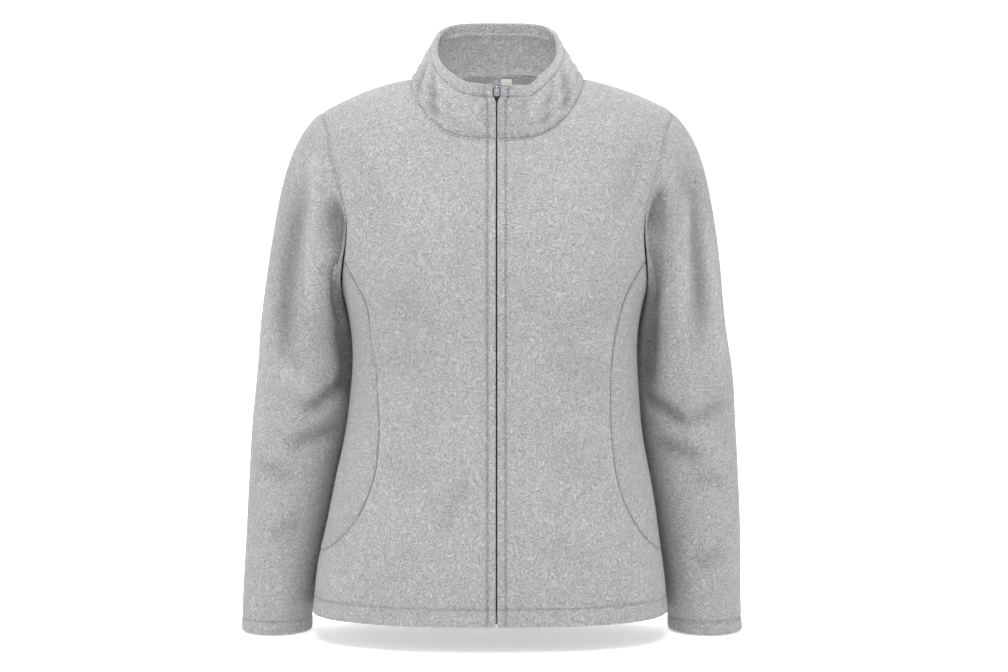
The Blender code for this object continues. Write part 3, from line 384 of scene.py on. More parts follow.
# Woven and twisted things: bands a metre across and up
THREAD_TWIST = 900.0
TAPE_RIBS = (560.0, 420.0)
LABEL_RIBS = (700.0, 900.0)
# Grey values of the darker and lighter parts of small things
TONES = {"thread": (0.36, 0.50), "tape": (0.085, 0.16), "teeth": (0.05, 0.11)}
TEETH_WEAR = 900.0
# Metals: main and marked colours, and the scales of their marks and of their dull places
METALS = {
    "chromed_metal": ((0.50, 0.51, 0.54, 1.0), (0.34, 0.35, 0.38, 1.0)),
    "dull_steel": ((0.13, 0.142, 0.172, 1.0), (0.09, 0.097, 0.115, 1.0)),
    "dark_metal": ((0.10, 0.10, 0.11, 1.0), (0.06, 0.06, 0.065, 1.0)),
}
METAL_MARKS = 1400.0
METAL_DULL = 500.0
METAL_ROUGHNESS = (0.18, 0.36)
LABEL_COLOURS = ((0.66, 0.65, 0.60, 1.0), (0.86, 0.85, 0.80, 1.0))

# Studio
FLOOR = -0.6445
PAPER_GLOW = 0.42  # the floor is lit from below too, as a light table is
STAGE_NEAR = -24.0
STAGE_FAR = 1.8
STAGE_BEND = 0.8
STAGE_HIGH = 3.2
STAGE_HALF = 24.0
STAGE_STEPS = 24
# The world's light: at the horizon, above, and the rise between which it fades
WORLD_LOW = 0.94
WORLD_HIGH = 0.30
WORLD_FADE = (0.20, 0.40)
CAMERA_PLACE = (0.0081, -1.75, -0.299)
CAMERA_LENS = 53.88
CAMERA_SENSOR = 36.0
CAMERA_NEAR = 0.05
# Lights: place, target, size, watts
LIGHTS = (
    ("right_soft", (-1.9, -1.7, 0.4), (0.0, 0.0, -0.3), (1.2, 1.8), 17.0),
    ("left_soft", (1.9, -1.7, 0.4), (0.0, 0.0, -0.3), (1.2, 1.8), 11.5),
    ("overhead", (0.0, -0.7, 1.9), (0.0, 0.0, -0.1), (1.4, 1.4), 52.0),
    ("backdrop", (0.0, 1.0, 2.2), (0.0, 2.4, -0.4), (3.0, 1.2), 40.0),
    ("inside_neck", (0.0, 0.0, -0.06), (0.0, 0.068, 0.0), (0.10, 0.03), 0.075),
)


def column(table, names, name):
    return np.array([row[names.index(name)] for row in table], float)


def spline(knots, values):
    """A smooth curve through the values: a natural cubic, as a function of its knot."""
    knots = np.asarray(knots, float)
    values = np.asarray(values, float)
    step = np.diff(knots)
    count = len(knots)
    matrix = np.eye(count)
    right = np.zeros(count)
    for i in range(1, count - 1):
        matrix[i, i - 1] = step[i - 1]
        matrix[i, i] = 2 * (step[i - 1] + step[i])
        matrix[i, i + 1] = step[i]
        rise = (values[i + 1] - values[i]) / step[i] - (values[i] - values[i - 1]) / step[i - 1]
        right[i] = 6 * rise
    bend = np.linalg.solve(matrix, right)

    def at(x):
        x = np.asarray(x, float)
        i = np.clip(np.searchsorted(knots, x) - 1, 0, count - 2)
        a = (knots[i + 1] - x) / step[i]
        b = 1 - a
        curve = (a**3 - a) * bend[i] + (b**3 - b) * bend[i + 1]
        return a * values[i] + b * values[i + 1] + curve * step[i] ** 2 / 6

    return at


def smooth(x):
    """A soft step from 0 to 1."""
    x = np.clip(x, 0.0, 1.0)
    return x * x * (3 - 2 * x)


TOP = float(len(SECTIONS) - 1)
LEVEL = {
    name: spline(range(len(SECTIONS)), column(SECTIONS, SECTION_COLUMNS, name)) for name in SECTION_COLUMNS
}
FINE_LEVELS = np.linspace(0.0, TOP, FINE_FORM)
FINE_HEIGHTS = LEVEL["height"](FINE_LEVELS)


def level_of(height):
    """The level whose height below the shoulder line is this."""
    return np.interp(-np.asarray(height, float), -FINE_HEIGHTS, FINE_LEVELS)


def ridge(x, half):
    """The shoulder line's height at this distance from the centre, with the nape or the throat."""
    x = np.abs(x)
    fall = SHOULDER_FALL * np.maximum(0.0, x - SHOULDER_FLAT) ** SHOULDER_CURVE
    inside = (1 - np.minimum(x / NECK_HALF, 1.0) ** 3) ** 2
    return -fall + inside * (NAPE_RISE if half == "back" else -THROAT_DIP)


def sloped(height):
    """How much of the shoulder's slope a ring at this height takes."""
    return smooth((LEVEL_BELOW - height) / (LEVEL_BELOW - SLOPED_ABOVE))


def swell(turn, square):
    """How far out a squared ring's point lies, beside a circle's."""
    s, c = np.abs(np.sin(turn)), np.abs(np.cos(turn))
    return (s**square + c**square) ** (-1 / square)


def form(places, half, side):
    """The points of the body's form at (turn, level) places."""
    turn, level = places[..., 0], np.minimum(places[..., 1], TOP)
    height = LEVEL["height"](level)
    swollen = swell(turn, LEVEL["square"](level))
    x = LEVEL["out_" + side](level) * swollen * np.sin(turn)
    y = np.maximum(LEVEL[half](level), 0.0) * swollen * np.cos(turn)
    z = -height + ridge(x, half) * sloped(height)
    return np.stack([x if side == "left" else -x, SIDE_SEAM_Y + (y if half == "back" else -y), z], axis=-1)


def search(low, high, shape, before):
    """Where a test of an array stops being true, between two bounds, by halving."""
    low, high = np.full(shape, float(low)), np.full(shape, float(high))
    for _ in range(HALVINGS):
        middle = (low + high) / 2
        true = before(middle)
        low, high = np.where(true, middle, low), np.where(true, high, middle)
    return (low + high) / 2


def turn_at(x, level, side):
    """The turn at which the ring of this level is this far out."""
    level = np.asarray(level, float)
    wide, square = LEVEL["out_" + side](level), LEVEL["square"](level)

    def inside(turn):
        return wide * swell(turn, square) * np.sin(turn) < x

    return search(0.0, math.pi / 2, np.broadcast(x, level).shape, inside)


def place_at(x, z, half, side):
    """The place of the form's point that shows at x, z from the front."""

    def above(height):
        return -height + ridge(x, half) * sloped(height) > z

    level = level_of(search(0.0, SEARCH_LOW, np.shape(x), above))
    return np.stack([turn_at(x, level, side), level], axis=-1)


def place_over(x, y, half, side):
    """The place of the upper form's point that lies x out and y off the side seam, from above."""

    def deep(level):
        turn = turn_at(x, level, side)
        return LEVEL[half](level) * swell(turn, LEVEL["square"](level)) * np.cos(turn) > y

    level = search(level_of(UPPER_FORM), TOP, np.shape(x), deep)
    return np.stack([turn_at(x, level, side), level], axis=-1)


def unit(vectors):
    return vectors / np.linalg.norm(vectors, axis=-1, keepdims=True)


def form_normals(places, half, side):
    """The form's outward directions, from two small steps along it."""
    turn, level = places[..., 0], places[..., 1]
    right = form(np.stack([turn + TURN_STEP, level], -1), half, side)
    left = form(np.stack([np.maximum(turn - TURN_STEP, 0.0), level], -1), half, side)
    across = right - left
    sign = 1.0 if side == "left" else -1.0
    across = np.where((turn < TURN_STEP)[..., None], np.array([sign, 0.0, 0.0]), across)
    high = form(np.stack([turn, np.minimum(level + LEVEL_STEP, TOP - TOP_SHY)], -1), half, side)
    low = form(np.stack([turn, np.maximum(level - LEVEL_STEP, 0.0)], -1), half, side)
    over = np.array([0.0, -1.0 if half == "back" else 1.0, 0.0])
    up = np.where((level > TOP - TOP_NEAR)[..., None], over, high - low)
    out = np.cross(across, up)
    return unit(-out if (half == "back") == (side == "left") else out)


def distances_along(path):
    """Each point's distance from the first, along the path."""
    steps = np.linalg.norm(np.diff(path, axis=0), axis=1)
    return np.concatenate([[0.0], np.cumsum(steps)])


# Seam lines: rows of (turn, level), from the bottom up or from the centre out


def shoulder_line(side):
    reach = np.linspace(NECK_HALF, SHOULDER_X, SHOULDER_STEPS + 1)
    level = np.full(reach.shape, TOP)
    return np.stack([turn_at(reach, level, side), level], -1)


def arm_line(half, side):
    """The armhole from the side seam up to the shoulder: a quarter round, then nearly upright."""
    upright = math.radians(ARM_TURN[half])
    foot = math.pi / 4
    swing = np.concatenate(
        [np.linspace(0.0, foot, ARM_FOOT_STEPS + 1)[:-1], np.linspace(foot, 2 * foot, ARM_ROUND_STEPS + 1)]
    )
    level = level_of(UNDERARM - ARM_ROUND * (1 - np.cos(swing)))
    turn = math.pi / 2 - (math.pi / 2 - upright) * np.sin(swing)
    share = np.arange(1, ARM_UPPER_STEPS + 1) / ARM_UPPER_STEPS
    at_top = float(turn_at(SHOULDER_X, TOP, side))
    turn = np.concatenate([turn, upright + (at_top - upright) * smooth(2 * share - 1)])
    level = np.concatenate([level, level[-1] + (TOP - level[-1]) * share])
    return np.stack([turn, level], -1)


def pocket_line(side):
    """The pocket seam from its foot near the side seam up to the armhole."""
    heights = column(POCKET_SEAM, POCKET_COLUMNS, "height")[::-1]
    reach = column(POCKET_SEAM, POCKET_COLUMNS, side)[::-1]
    levels = level_of(heights)
    places = np.stack([turn_at(reach, levels, side), levels], -1)
    foot_level = float(level_of(POCKET_FOOT))
    foot = (math.pi / 2 - POCKET_FOOT_WIDE / float(LEVEL["front"](foot_level)), foot_level)
    places = np.vstack([foot, places, arm_line("front", side)[ARM_FOOT_STEPS]])
    way = distances_along(places * np.array([METRES_A_TURN, METRES_A_LEVEL]))
    at = np.linspace(0.0, way[-1], POCKET_STEPS + 1)
    return np.stack([spline(way, places[:, 0])(at), spline(way, places[:, 1])(at)], -1)


def side_line(first, last, steps):
    levels = level_of(np.linspace(first, last, steps + 1))
    return np.stack([np.full(levels.shape, math.pi / 2), levels], -1)


def neck_line(half, side, starts):
    """The neckline out to the shoulder. starts are the first columns' distances from the centre."""
    deep, square = NECK_DEEP[half], NECK_SQUARE[half]
    swing = np.linspace(0.0, math.pi / 2, FINE_NECK)
    swollen = swell(swing, square)
    x, y = NECK_HALF * swollen * np.sin(swing), deep * swollen * np.cos(swing)
    way = distances_along(np.stack([x, y], -1))
    at = np.linspace(np.interp(starts[-1], x, way), way[-1], NECK_STEPS + 1)[:-1]
    at = np.concatenate([np.interp(starts[:-1], x, way), at])
    inside = place_over(np.interp(at, way, x), np.interp(at, way, y), half, side)
    return np.vstack([inside, (float(turn_at(NECK_HALF, TOP, side)), TOP)])


# Grids of places between seam lines


def blend(bottom, top, inner, outer):
    """The places between four seam lines that meet at their ends."""
    share = np.linspace(0.0, 1.0, len(bottom))[None, :, None]
    up = np.linspace(0.0, 1.0, len(inner))[:, None, None]
    bowed_low = bottom - (1 - share[0]) * bottom[0] - share[0] * bottom[-1]
    bowed_high = top - (1 - share[0]) * top[0] - share[0] * top[-1]
    straight = (1 - share) * inner[:, None] + share * outer[:, None]
    return straight + (1 - up) ** 2 * bowed_low + up**2 * bowed_high


def hem_levels():
    return level_of(SECTIONS[0][0] - np.array(HEM_LINES + HEM_MORE))


def foot_levels(hem):
    """Levels of the rows between the hem and the pocket's foot, on the side seam."""
    return np.linspace(hem[-1], level_of(POCKET_FOOT), FOOT_ROWS)[1:]


def centre_levels(hem, count, top_level):
    """Levels of a panel's rows on the centre line."""
    middle = float(level_of(POCKET_FOOT + POCKET_FOOT_DROP))
    low = np.linspace(hem[-1], middle, FOOT_ROWS + 1)[1:]
    high = np.linspace(middle, top_level, count - len(hem) - FOOT_ROWS + 1)[1:]
    return np.concatenate([hem, low, high])


def at_side(levels):
    return np.stack([np.full(len(levels), math.pi / 2), levels], -1)


def front_places(side):
    """Columns at fixed distances along the zip, then the panel between them and its outer seams."""
    hem = hem_levels()
    arm = arm_line("front", side)
    outer = np.vstack([at_side(hem), at_side(foot_levels(hem)), pocket_line(side), arm[ARM_FOOT_STEPS + 1 :]])
    top = np.vstack([neck_line("front", side, np.array(ZIP_LINES)), shoulder_line(side)[1:]])
    strip = []
    for x, (_, top_level) in zip(ZIP_LINES, top):
        levels = centre_levels(hem, len(outer), top_level)
        strip.append(np.stack([turn_at(x, levels, side), levels], -1))
    last = len(ZIP_LINES) - 1
    turns = np.linspace(strip[last][0, 0], math.pi / 2, len(top) - last)
    bottom = np.stack([turns, np.zeros(len(turns))], -1)
    panel_part = blend(bottom, top[last:], strip[last], outer)
    grid = np.concatenate([np.stack(strip[:last], axis=1), panel_part], axis=1)
    grid[: len(hem), :, 1] = hem[:, None]
    return grid


def side_front_places(side):
    inner = pocket_line(side)
    outer = side_line(POCKET_FOOT, UNDERARM, POCKET_STEPS)
    top = arm_line("front", side)[: ARM_FOOT_STEPS + 1][::-1]
    bottom = inner[0] + (outer[0] - inner[0]) * np.linspace(0.0, 1.0, ARM_FOOT_STEPS + 1)[:, None]
    return blend(bottom, top, inner, outer)


def back_places(side):
    hem = hem_levels()
    outer = np.vstack(
        [
            at_side(hem),
            at_side(foot_levels(hem)),
            side_line(POCKET_FOOT, UNDERARM, POCKET_STEPS)[1:],
            arm_line("back", side)[1:],
        ]
    )
    top = np.vstack([neck_line("back", side, np.array([0.0])), shoulder_line(side)[1:]])
    levels = centre_levels(hem, len(outer), top[0, 1])
    inner = np.stack([np.zeros(len(levels)), levels], -1)
    turns = np.linspace(0.0, math.pi / 2, len(top))
    bottom = np.stack([turns, np.zeros(len(turns))], -1)
    grid = blend(bottom, top, inner, outer)
    grid[: len(hem), :, 1] = hem[:, None]
    return grid


def finer_edges(grid, low_row, high_row, low_column, high_column):
    """Adds rows and columns close beside the named edges of a grid."""
    for axis, low, high in ((0, low_row, high_row), (1, low_column, high_column)):
        at = np.arange(grid.shape[axis], dtype=float)
        more = list(at)
        if low:
            more += list(SEAM_SHARES)
        if high:
            more += [at[-1] - share for share in SEAM_SHARES]
        more = np.sort(np.array(more))
        i = np.minimum(more.astype(int), grid.shape[axis] - 2)
        share = (more - i).reshape((-1, 1, 1) if axis == 0 else (1, -1, 1))
        grid = np.take(grid, i, axis) * (1 - share) + np.take(grid, i + 1, axis) * share
    return grid


def pull_in(points, normals):
    """Draws a panel's four edges in by half of a seam's gap."""
    moved = points.copy()
    edges = (
        (points[0], points[1], normals[0], moved[0]),
        (points[-1], points[-2], normals[-1], moved[-1]),
        (points[:, 0], points[:, 1], normals[:, 0], moved[:, 0]),
        (points[:, -1], points[:, -2], normals[:, -1], moved[:, -1]),
    )
    for edge, inside, out, target in edges:
        across = unit(np.cross(out, np.gradient(edge, axis=0)))
        flip = np.sign(((inside - edge) * across).sum())
        target += across * flip * SEAM_GAP / 2
    return moved


def grid_normals(points, closed, outward):
    """Outward directions of a grid's points; closed says that its columns run all round."""
    if closed:
        across = np.roll(points, -1, 1) - np.roll(points, 1, 1)
    else:
        across = np.gradient(points, axis=1)
    normals = unit(np.cross(across, np.gradient(points, axis=0)))
    return normals if (normals * (points - outward)).sum() > 0 else -normals


def ways(points):
    """Each point's distance along the grid from its first and last row and its first and last
    column, as four arrays."""
    rows = np.linalg.norm(np.diff(points, axis=0), axis=2)
    columns = np.linalg.norm(np.diff(points, axis=1), axis=2)
    up = np.vstack([np.zeros((1, rows.shape[1])), np.cumsum(rows, axis=0)])
    across = np.hstack([np.zeros((columns.shape[0], 1)), np.cumsum(columns, axis=1)])
    return up, up[-1:] - up, across, across[:, -1:] - across


# Soft creases, each a trough or ridge along a line on the cloth

# Body, seen from the front or the back: both ends as x, z, then half width and height
BODY_CREASES = (
    ("front", -0.064, -0.512, -0.022, -0.450, 0.010, -0.0036),
    ("front", -0.072, -0.417, -0.008, -0.388, 0.012, 0.0028),
    ("front", -0.168, -0.070, -0.128, -0.178, 0.017, -0.0036),
    ("front", 0.172, -0.076, 0.132, -0.172, 0.016, -0.0034),
    ("front", -0.132, -0.246, -0.058, -0.296, 0.017, -0.0030),
    ("front", 0.128, -0.250, 0.062, -0.304, 0.016, -0.0028),
    ("front", -0.142, -0.330, -0.066, -0.316, 0.013, -0.0026),
    ("front", 0.140, -0.346, 0.056, -0.328, 0.014, -0.0026),
    ("front", 0.058, -0.418, 0.114, -0.458, 0.015, -0.0026),
    ("front", -0.068, -0.472, -0.124, -0.428, 0.015, -0.0022),
    ("front", 0.060, -0.520, 0.118, -0.560, 0.018, -0.0020),
    ("front", -0.100, -0.540, -0.150, -0.590, 0.018, -0.0018),
    ("back", -0.126, -0.296, 0.024, -0.316, 0.014, -0.0046),
    ("back", 0.132, -0.322, -0.014, -0.342, 0.013, -0.0042),
    ("back", -0.100, -0.352, 0.056, -0.366, 0.014, -0.0036),
    ("back", 0.020, -0.286, 0.110, -0.274, 0.013, -0.0026),
    ("back", -0.154, -0.080, -0.118, -0.208, 0.017, -0.0042),
    ("back", 0.156, -0.086, 0.116, -0.212, 0.018, -0.0040),
    ("back", -0.020, -0.056, -0.010, -0.158, 0.030, -0.0018),
    ("back", -0.062, -0.470, -0.050, -0.596, 0.024, 0.0034),
    ("back", 0.076, -0.490, 0.070, -0.604, 0.026, 0.0032),
    ("back", 0.006, -0.480, 0.010, -0.600, 0.024, -0.0026),
)
# Sleeves: both ends as turn (degrees from the outer side toward the front) and drop, then half
# width in degrees and height
SLEEVE_CREASES = (
    ("right", 84.0, 0.145, 116.0, 0.205, 13.0, -0.0115),
    ("right", 110.0, 0.205, 152.0, 0.280, 15.0, -0.0092),
    ("right", 146.0, 0.275, 156.0, 0.370, 15.0, -0.0070),
    ("right", 40.0, 0.098, 62.0, 0.150, 6.0, 0.0030),
    ("right", 62.0, 0.150, 98.0, 0.260, 6.0, 0.0036),
    ("right", 40.0, 0.125, 74.0, 0.330, 14.0, -0.0056),
    ("right", 24.0, 0.250, 40.0, 0.420, 14.0, 0.0026),
    ("right", 96.0, 0.385, 152.0, 0.346, 9.0, -0.0060),
    ("right", 84.0, 0.425, 150.0, 0.400, 10.0, -0.0042),
    ("right", 60.0, 0.330, 118.0, 0.372, 9.0, 0.0026),
    ("right", 40.0, 0.445, 100.0, 0.462, 11.0, -0.0026),
    ("right", 75.0, 0.530, 120.0, 0.512, 11.0, -0.0022),
    ("left", 82.0, 0.125, 100.0, 0.190, 13.0, -0.0115),
    ("left", 98.0, 0.190, 146.0, 0.275, 15.0, -0.0092),
    ("left", 142.0, 0.265, 144.0, 0.360, 15.0, -0.0070),
    ("left", 46.0, 0.140, 66.0, 0.190, 6.0, 0.0032),
    ("left", 66.0, 0.190, 100.0, 0.290, 6.0, 0.0036),
    ("left", 34.0, 0.110, 72.0, 0.300, 13.0, -0.0054),
    ("left", 36.0, 0.150, 44.0, 0.340, 13.0, 0.0026),
    ("left", 92.0, 0.400, 154.0, 0.362, 9.0, -0.0060),
    ("left", 78.0, 0.440, 140.0, 0.418, 10.0, -0.0040),
    ("left", 40.0, 0.372, 92.0, 0.398, 10.0, -0.0030),
    ("left", 50.0, 0.470, 104.0, 0.458, 11.0, -0.0024),
    ("left", 60.0, 0.548, 110.0, 0.560, 11.0, -0.0022),
    ("right", 206.0, 0.300, 286.0, 0.334, 12.0, -0.0048),
    ("right", 212.0, 0.350, 296.0, 0.388, 12.0, -0.0044),
    ("right", 222.0, 0.404, 282.0, 0.432, 12.0, -0.0030),
    ("right", 244.0, 0.120, 238.0, 0.275, 14.0, -0.0044),
    ("right", 286.0, 0.140, 300.0, 0.300, 14.0, 0.0026),
    ("left", 204.0, 0.310, 288.0, 0.340, 12.0, -0.0048),
    ("left", 216.0, 0.358, 298.0, 0.396, 12.0, -0.0042),
    ("left", 226.0, 0.412, 280.0, 0.436, 12.0, -0.0028),
    ("left", 240.0, 0.118, 244.0, 0.280, 14.0, -0.0044),
    ("left", 288.0, 0.150, 302.0, 0.310, 14.0, 0.0024),
)
METRES_A_DEGREE = 0.00092
CREASE_FREE = 0.016  # they die out this far from the armhole
CREASE_PAST = 0.15  # shares of its length: a crease goes on past its ends, and fades over the next
CREASE_FADE = 0.45
# Collar: turn round the neck, share of its height, height, half width, slant up the collar
COLLAR_CREASES = (
    (-70.0, 0.55, -0.0048, 3.8, -20.0),
    (-63.0, 0.52, 0.0022, 3.2, -20.0),
    (-50.0, 0.36, -0.0046, 3.4, -24.0),
    (-43.0, 0.34, 0.0018, 3.2, -24.0),
    (58.0, 0.50, -0.0050, 3.8, 20.0),
    (50.0, 0.50, 0.0022, 3.4, 20.0),
    (40.0, 0.34, -0.0034, 3.4, 24.0),
    (22.0, 0.62, -0.0034, 6.0, 10.0),
    (-118.0, 0.50, -0.0034, 7.0, -10.0),
    (112.0, 0.50, -0.0034, 7.0, 10.0),
)
# Rings round the collar: share of its height, the turns between which it runs, width, height
COLLAR_RINGS = (
    (0.20, -150.0, -18.0, 0.055, -0.0020),
    (0.42, -140.0, -24.0, 0.060, -0.0018),
    (0.22, 20.0, 150.0, 0.055, -0.0020),
    (0.45, 26.0, 140.0, 0.060, -0.0018),
)
# Creases of the collar fade over this share of its height, and end so far past its stitches
COLLAR_FADE = (0.20, 0.25)
COLLAR_PAST = 0.05


def along_line(a, b, ends, scale):
    """How far (a, b) lies from a line between two ends, and how far along it, as a share."""
    start = np.array(ends[:2]) * scale
    run = np.array(ends[2:]) * scale - start
    long = np.hypot(*run)
    across_a, across_b = a * scale[0] - start[0], b * scale[1] - start[1]
    share = (across_a * run[0] + across_b * run[1]) / long**2
    return np.abs(across_a * run[1] - across_b * run[0]) / long, share


def crease(distance, share, half_width, height):
    """A soft trough or ridge that dies out toward both of its ends."""
    fade = smooth((share + CREASE_PAST) / CREASE_FADE)
    fade *= smooth((1 + CREASE_PAST - share) / CREASE_FADE)
    return height * fade * np.exp(-((distance / half_width) ** 2))


def body_relief(points, half):
    total = np.zeros(points.shape[:2])
    for name, x0, z0, x1, z1, half_width, height in BODY_CREASES:
        if name == half:
            distance, share = along_line(points[..., 0], points[..., 2], (x0, z0, x1, z1), np.ones(2))
            total += crease(distance, share, half_width, height)
    return total


def sleeve_relief(side, degrees, drops):
    total = np.zeros(degrees.shape)
    for name, turn0, drop0, turn1, drop1, half_width, height in SLEEVE_CREASES:
        if name == side:
            scale = np.array([METRES_A_DEGREE, 1.0])
            distance, share = along_line(degrees, drops, (turn0, drop0, turn1, drop1), scale)
            total += crease(distance, share, half_width * METRES_A_DEGREE, height)
    return total


def free_of_zip(turn):
    """How freely the collar creases at this turn: not beside the zip, which holds it flat."""
    return smooth((np.abs(turn) - ZIP_STIFF[0]) / (ZIP_STIFF[1] - ZIP_STIFF[0]))


def collar_relief(turns, shares):
    """Bulge, creases and rings of the collar's face, on a grid of shares by turns."""
    share, turn = shares[:, None], turns[None, :]
    below_fold = smooth(share / COLLAR_FADE[0])
    below_fold = below_fold * smooth((COLLAR_STITCH + COLLAR_PAST - share) / COLLAR_FADE[1])
    total = COLLAR_BULGE * np.sin(math.pi * share) + 0 * turn
    for middle, up, rise, spread, slant in COLLAR_CREASES:
        off = turn - middle - slant * (share - up)
        total = total + rise * np.exp(-((off / spread) ** 2)) * below_fold
    for height, low, high, wide, rise in COLLAR_RINGS:
        ends = smooth((turn - low) / RING_ENDS) * smooth((high - turn) / RING_ENDS)
        total = total + rise * np.exp(-(((share - height) / wide) ** 2)) * ends
    return total * free_of_zip(turn)


def slow_waves(points, piece):
    """The soft unevenness of worn cloth: a few slow waves, about 1 high."""
    rng = np.random.default_rng(SEEDS[piece])
    total = np.zeros(points.shape[:-1])
    for _ in range(WAVES):
        wave = rng.normal(0.0, 1.0, 3)
        wave *= rng.uniform(*WAVE_NUMBERS) / np.linalg.norm(wave)
        total += np.sin(points @ wave + rng.uniform(0.0, 2 * math.pi))
    return total / math.sqrt(WAVES)


def rounding(distance, radius):
    """How far a rounded edge's face lies under the flat one, this far in from the edge."""
    inside = np.clip(radius - distance, 0.0, None)
    return radius - np.sqrt(np.maximum(radius**2 - inside**2, 0.0))


def seam_relief(distance):
    """The dip and the puff of the face beside a sewn seam."""
    dip = SEAM_DIP * np.exp(-((distance / SEAM_DIP_WIDE) ** 2))
    puff = SEAM_PUFF * np.exp(-(((distance - SEAM_PUFF_AT) / SEAM_PUFF_WIDE) ** 2))
    return puff - dip


def stitch_groove(distance):
    """The trough that a row of stitches pulls into the fleece."""
    return -STITCH_DIP * np.exp(-((distance / STITCH_DIP_WIDE) ** 2))


def pucker(way, distance):
    """The slight waviness of a hem, this far along it and above its edge."""
    waves = sum(share * np.sin(number * way + shift) for number, share, shift in PUCKER_WAVES)
    return PUCKER * waves * np.exp(-((distance / PUCKER_WIDE) ** 2))


def folded_depth(distance, deep, fold):
    """Wall thickness this far from a turned edge: double, then plain past its stitching."""
    end, over = (share * fold for share in FOLD_GIVES_OUT)
    return FLEECE + (deep - FLEECE) * (1 - smooth((distance - end) / over))


# Making pieces


def add_piece(name, bm, shade, kind, body="garment"):
    """Makes an object of a mesh, in its shade, and lets it ride on its body."""
    bmesh.ops.recalc_face_normals(bm, faces=bm.faces)
    mesh = bpy.data.meshes.new(name)
    bm.to_mesh(mesh)
    bm.free()
    mesh.materials.append(shade)
    mesh.shade_smooth()
    mesh.set_sharp_from_angle(angle=math.radians(SHARP[kind]))
    made = bpy.data.objects.new(name, mesh)
    bpy.context.scene.collection.objects.link(made)
    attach(made, body)
    return made


def grid_faces(bm, grid, closed, flip):
    """Quads over a grid of points; gives back its vertices in rows."""
    verts = [[bm.verts.new(point) for point in row] for row in grid]
    columns = len(verts[0])
    for low, high in zip(verts, verts[1:]):
        for j in range(columns if closed else columns - 1):
            k = (j + 1) % columns
            quad = (low[j], low[k], high[k], high[j])
            bm.faces.new(quad[::-1] if flip else quad)
    return verts


def rim(bm, first, second, closed):
    """Quads between two rows of vertices."""
    count = len(first)
    for j in range(count if closed else count - 1):
        k = (j + 1) % count
        bm.faces.new((first[j], second[j], second[k], first[k]))


def ring(centre, first, second, sides, start=0.0):
    """Points round a centre, on an ellipse with these two half axes."""
    angles = 2 * math.pi * (np.arange(sides) + start) / sides
    return [centre + first * math.cos(a) + second * math.sin(a) for a in angles]


def tube(bm, rings):
    """A closed tube through rings of points."""
    verts = [[bm.verts.new(point) for point in points] for points in rings]
    for low, high in zip(verts, verts[1:]):
        rim(bm, low, high, True)
    bm.faces.new(verts[0][::-1])
    bm.faces.new(verts[-1])


def cloth(name, outer, inner, shade, closed=False, painted_light=None):
    """A closed thin wall between two grids of points; its last argument is the painted light and shade on
    each outer point, kept on the mesh for the material to multiply into the colour.
    """
    bm = bmesh.new()
    out = grid_faces(bm, outer, closed, False)
    back = grid_faces(bm, inner, closed, True)
    rim(bm, out[0], back[0], closed)
    rim(bm, out[-1], back[-1], closed)
    if not closed:
        rim(bm, [row[0] for row in out], [row[0] for row in back], False)
        rim(bm, [row[-1] for row in out], [row[-1] for row in back], False)
    made = add_piece(name, bm, shade, "cloth")
    if painted_light is not None:
        # Painted light and shade per point: the given values outside, one lighter value on the inner side
        values = made.data.attributes.new("painted_light", "FLOAT", "POINT")
        values.data.foreach_set("value", np.concatenate([painted_light.ravel(), np.full(painted_light.size, INSIDE_PAINTED_LIGHT)]))
    return made


def painted_crease_shade(relief, piece):
    """The painted shade and highlight of the creases: the colour darker in a trough and lighter on a ridge,
    times the piece's own painted lightness.
    """
    return PAINTED_LIGHT_BY_PIECE[piece] * (1 + CREASE_PAINTED_SHADE[piece] * np.clip(relief / PAINTED_SHADE_FULL_AT, *PAINTED_SHADE_CLIP))


def with_painted_stitch_shade(painted_light, grooves):
    """Painted shade in the stitched grooves: the colour made darker along them."""
    return painted_light * (1 + STITCH_SHADE * grooves / STITCH_DIP)


def panel(name, points, normals, rise, depth, sewn, turned, shade, painted_light, closed=False):
    """A wall on a form's points: rise moves its face out and depth is its thickness. Its face is
    rounded at its sewn edges, given by the distances from them, and both sides are at its turned
    ones, given with their radii."""
    outside = inside = np.zeros(points.shape[:2])
    for distance, radius in turned:
        inside = np.maximum(inside, rounding(distance, radius))
    outside = inside
    for distance in sewn:
        outside = np.maximum(outside, rounding(distance, SEAM_ROUND))
        # Painted shade along each sewn seam: the colour darker close to it
        painted_light = painted_light * (1 - SEAM_SHADE * np.exp(-((distance / SEAM_SHADE_WIDE) ** 2)))
    outer = points + normals * (rise - outside)[..., None]
    inner = points + normals * (rise - depth + np.minimum(inside, INSIDE_ROUND * depth))[..., None]
    return cloth(name, outer, inner, shade, closed, painted_light), outer


# Body panels


def pocket_proud(places):
    """How far the pocket mouth's edge stands off, at each row of the front."""
    heights = LEVEL["height"](places[:, -1, 1])
    low, high = POCKET_MOUTH
    return POCKET_PROUD * np.sin(math.pi * np.clip((heights - low) / (high - low), 0.0, 1.0))


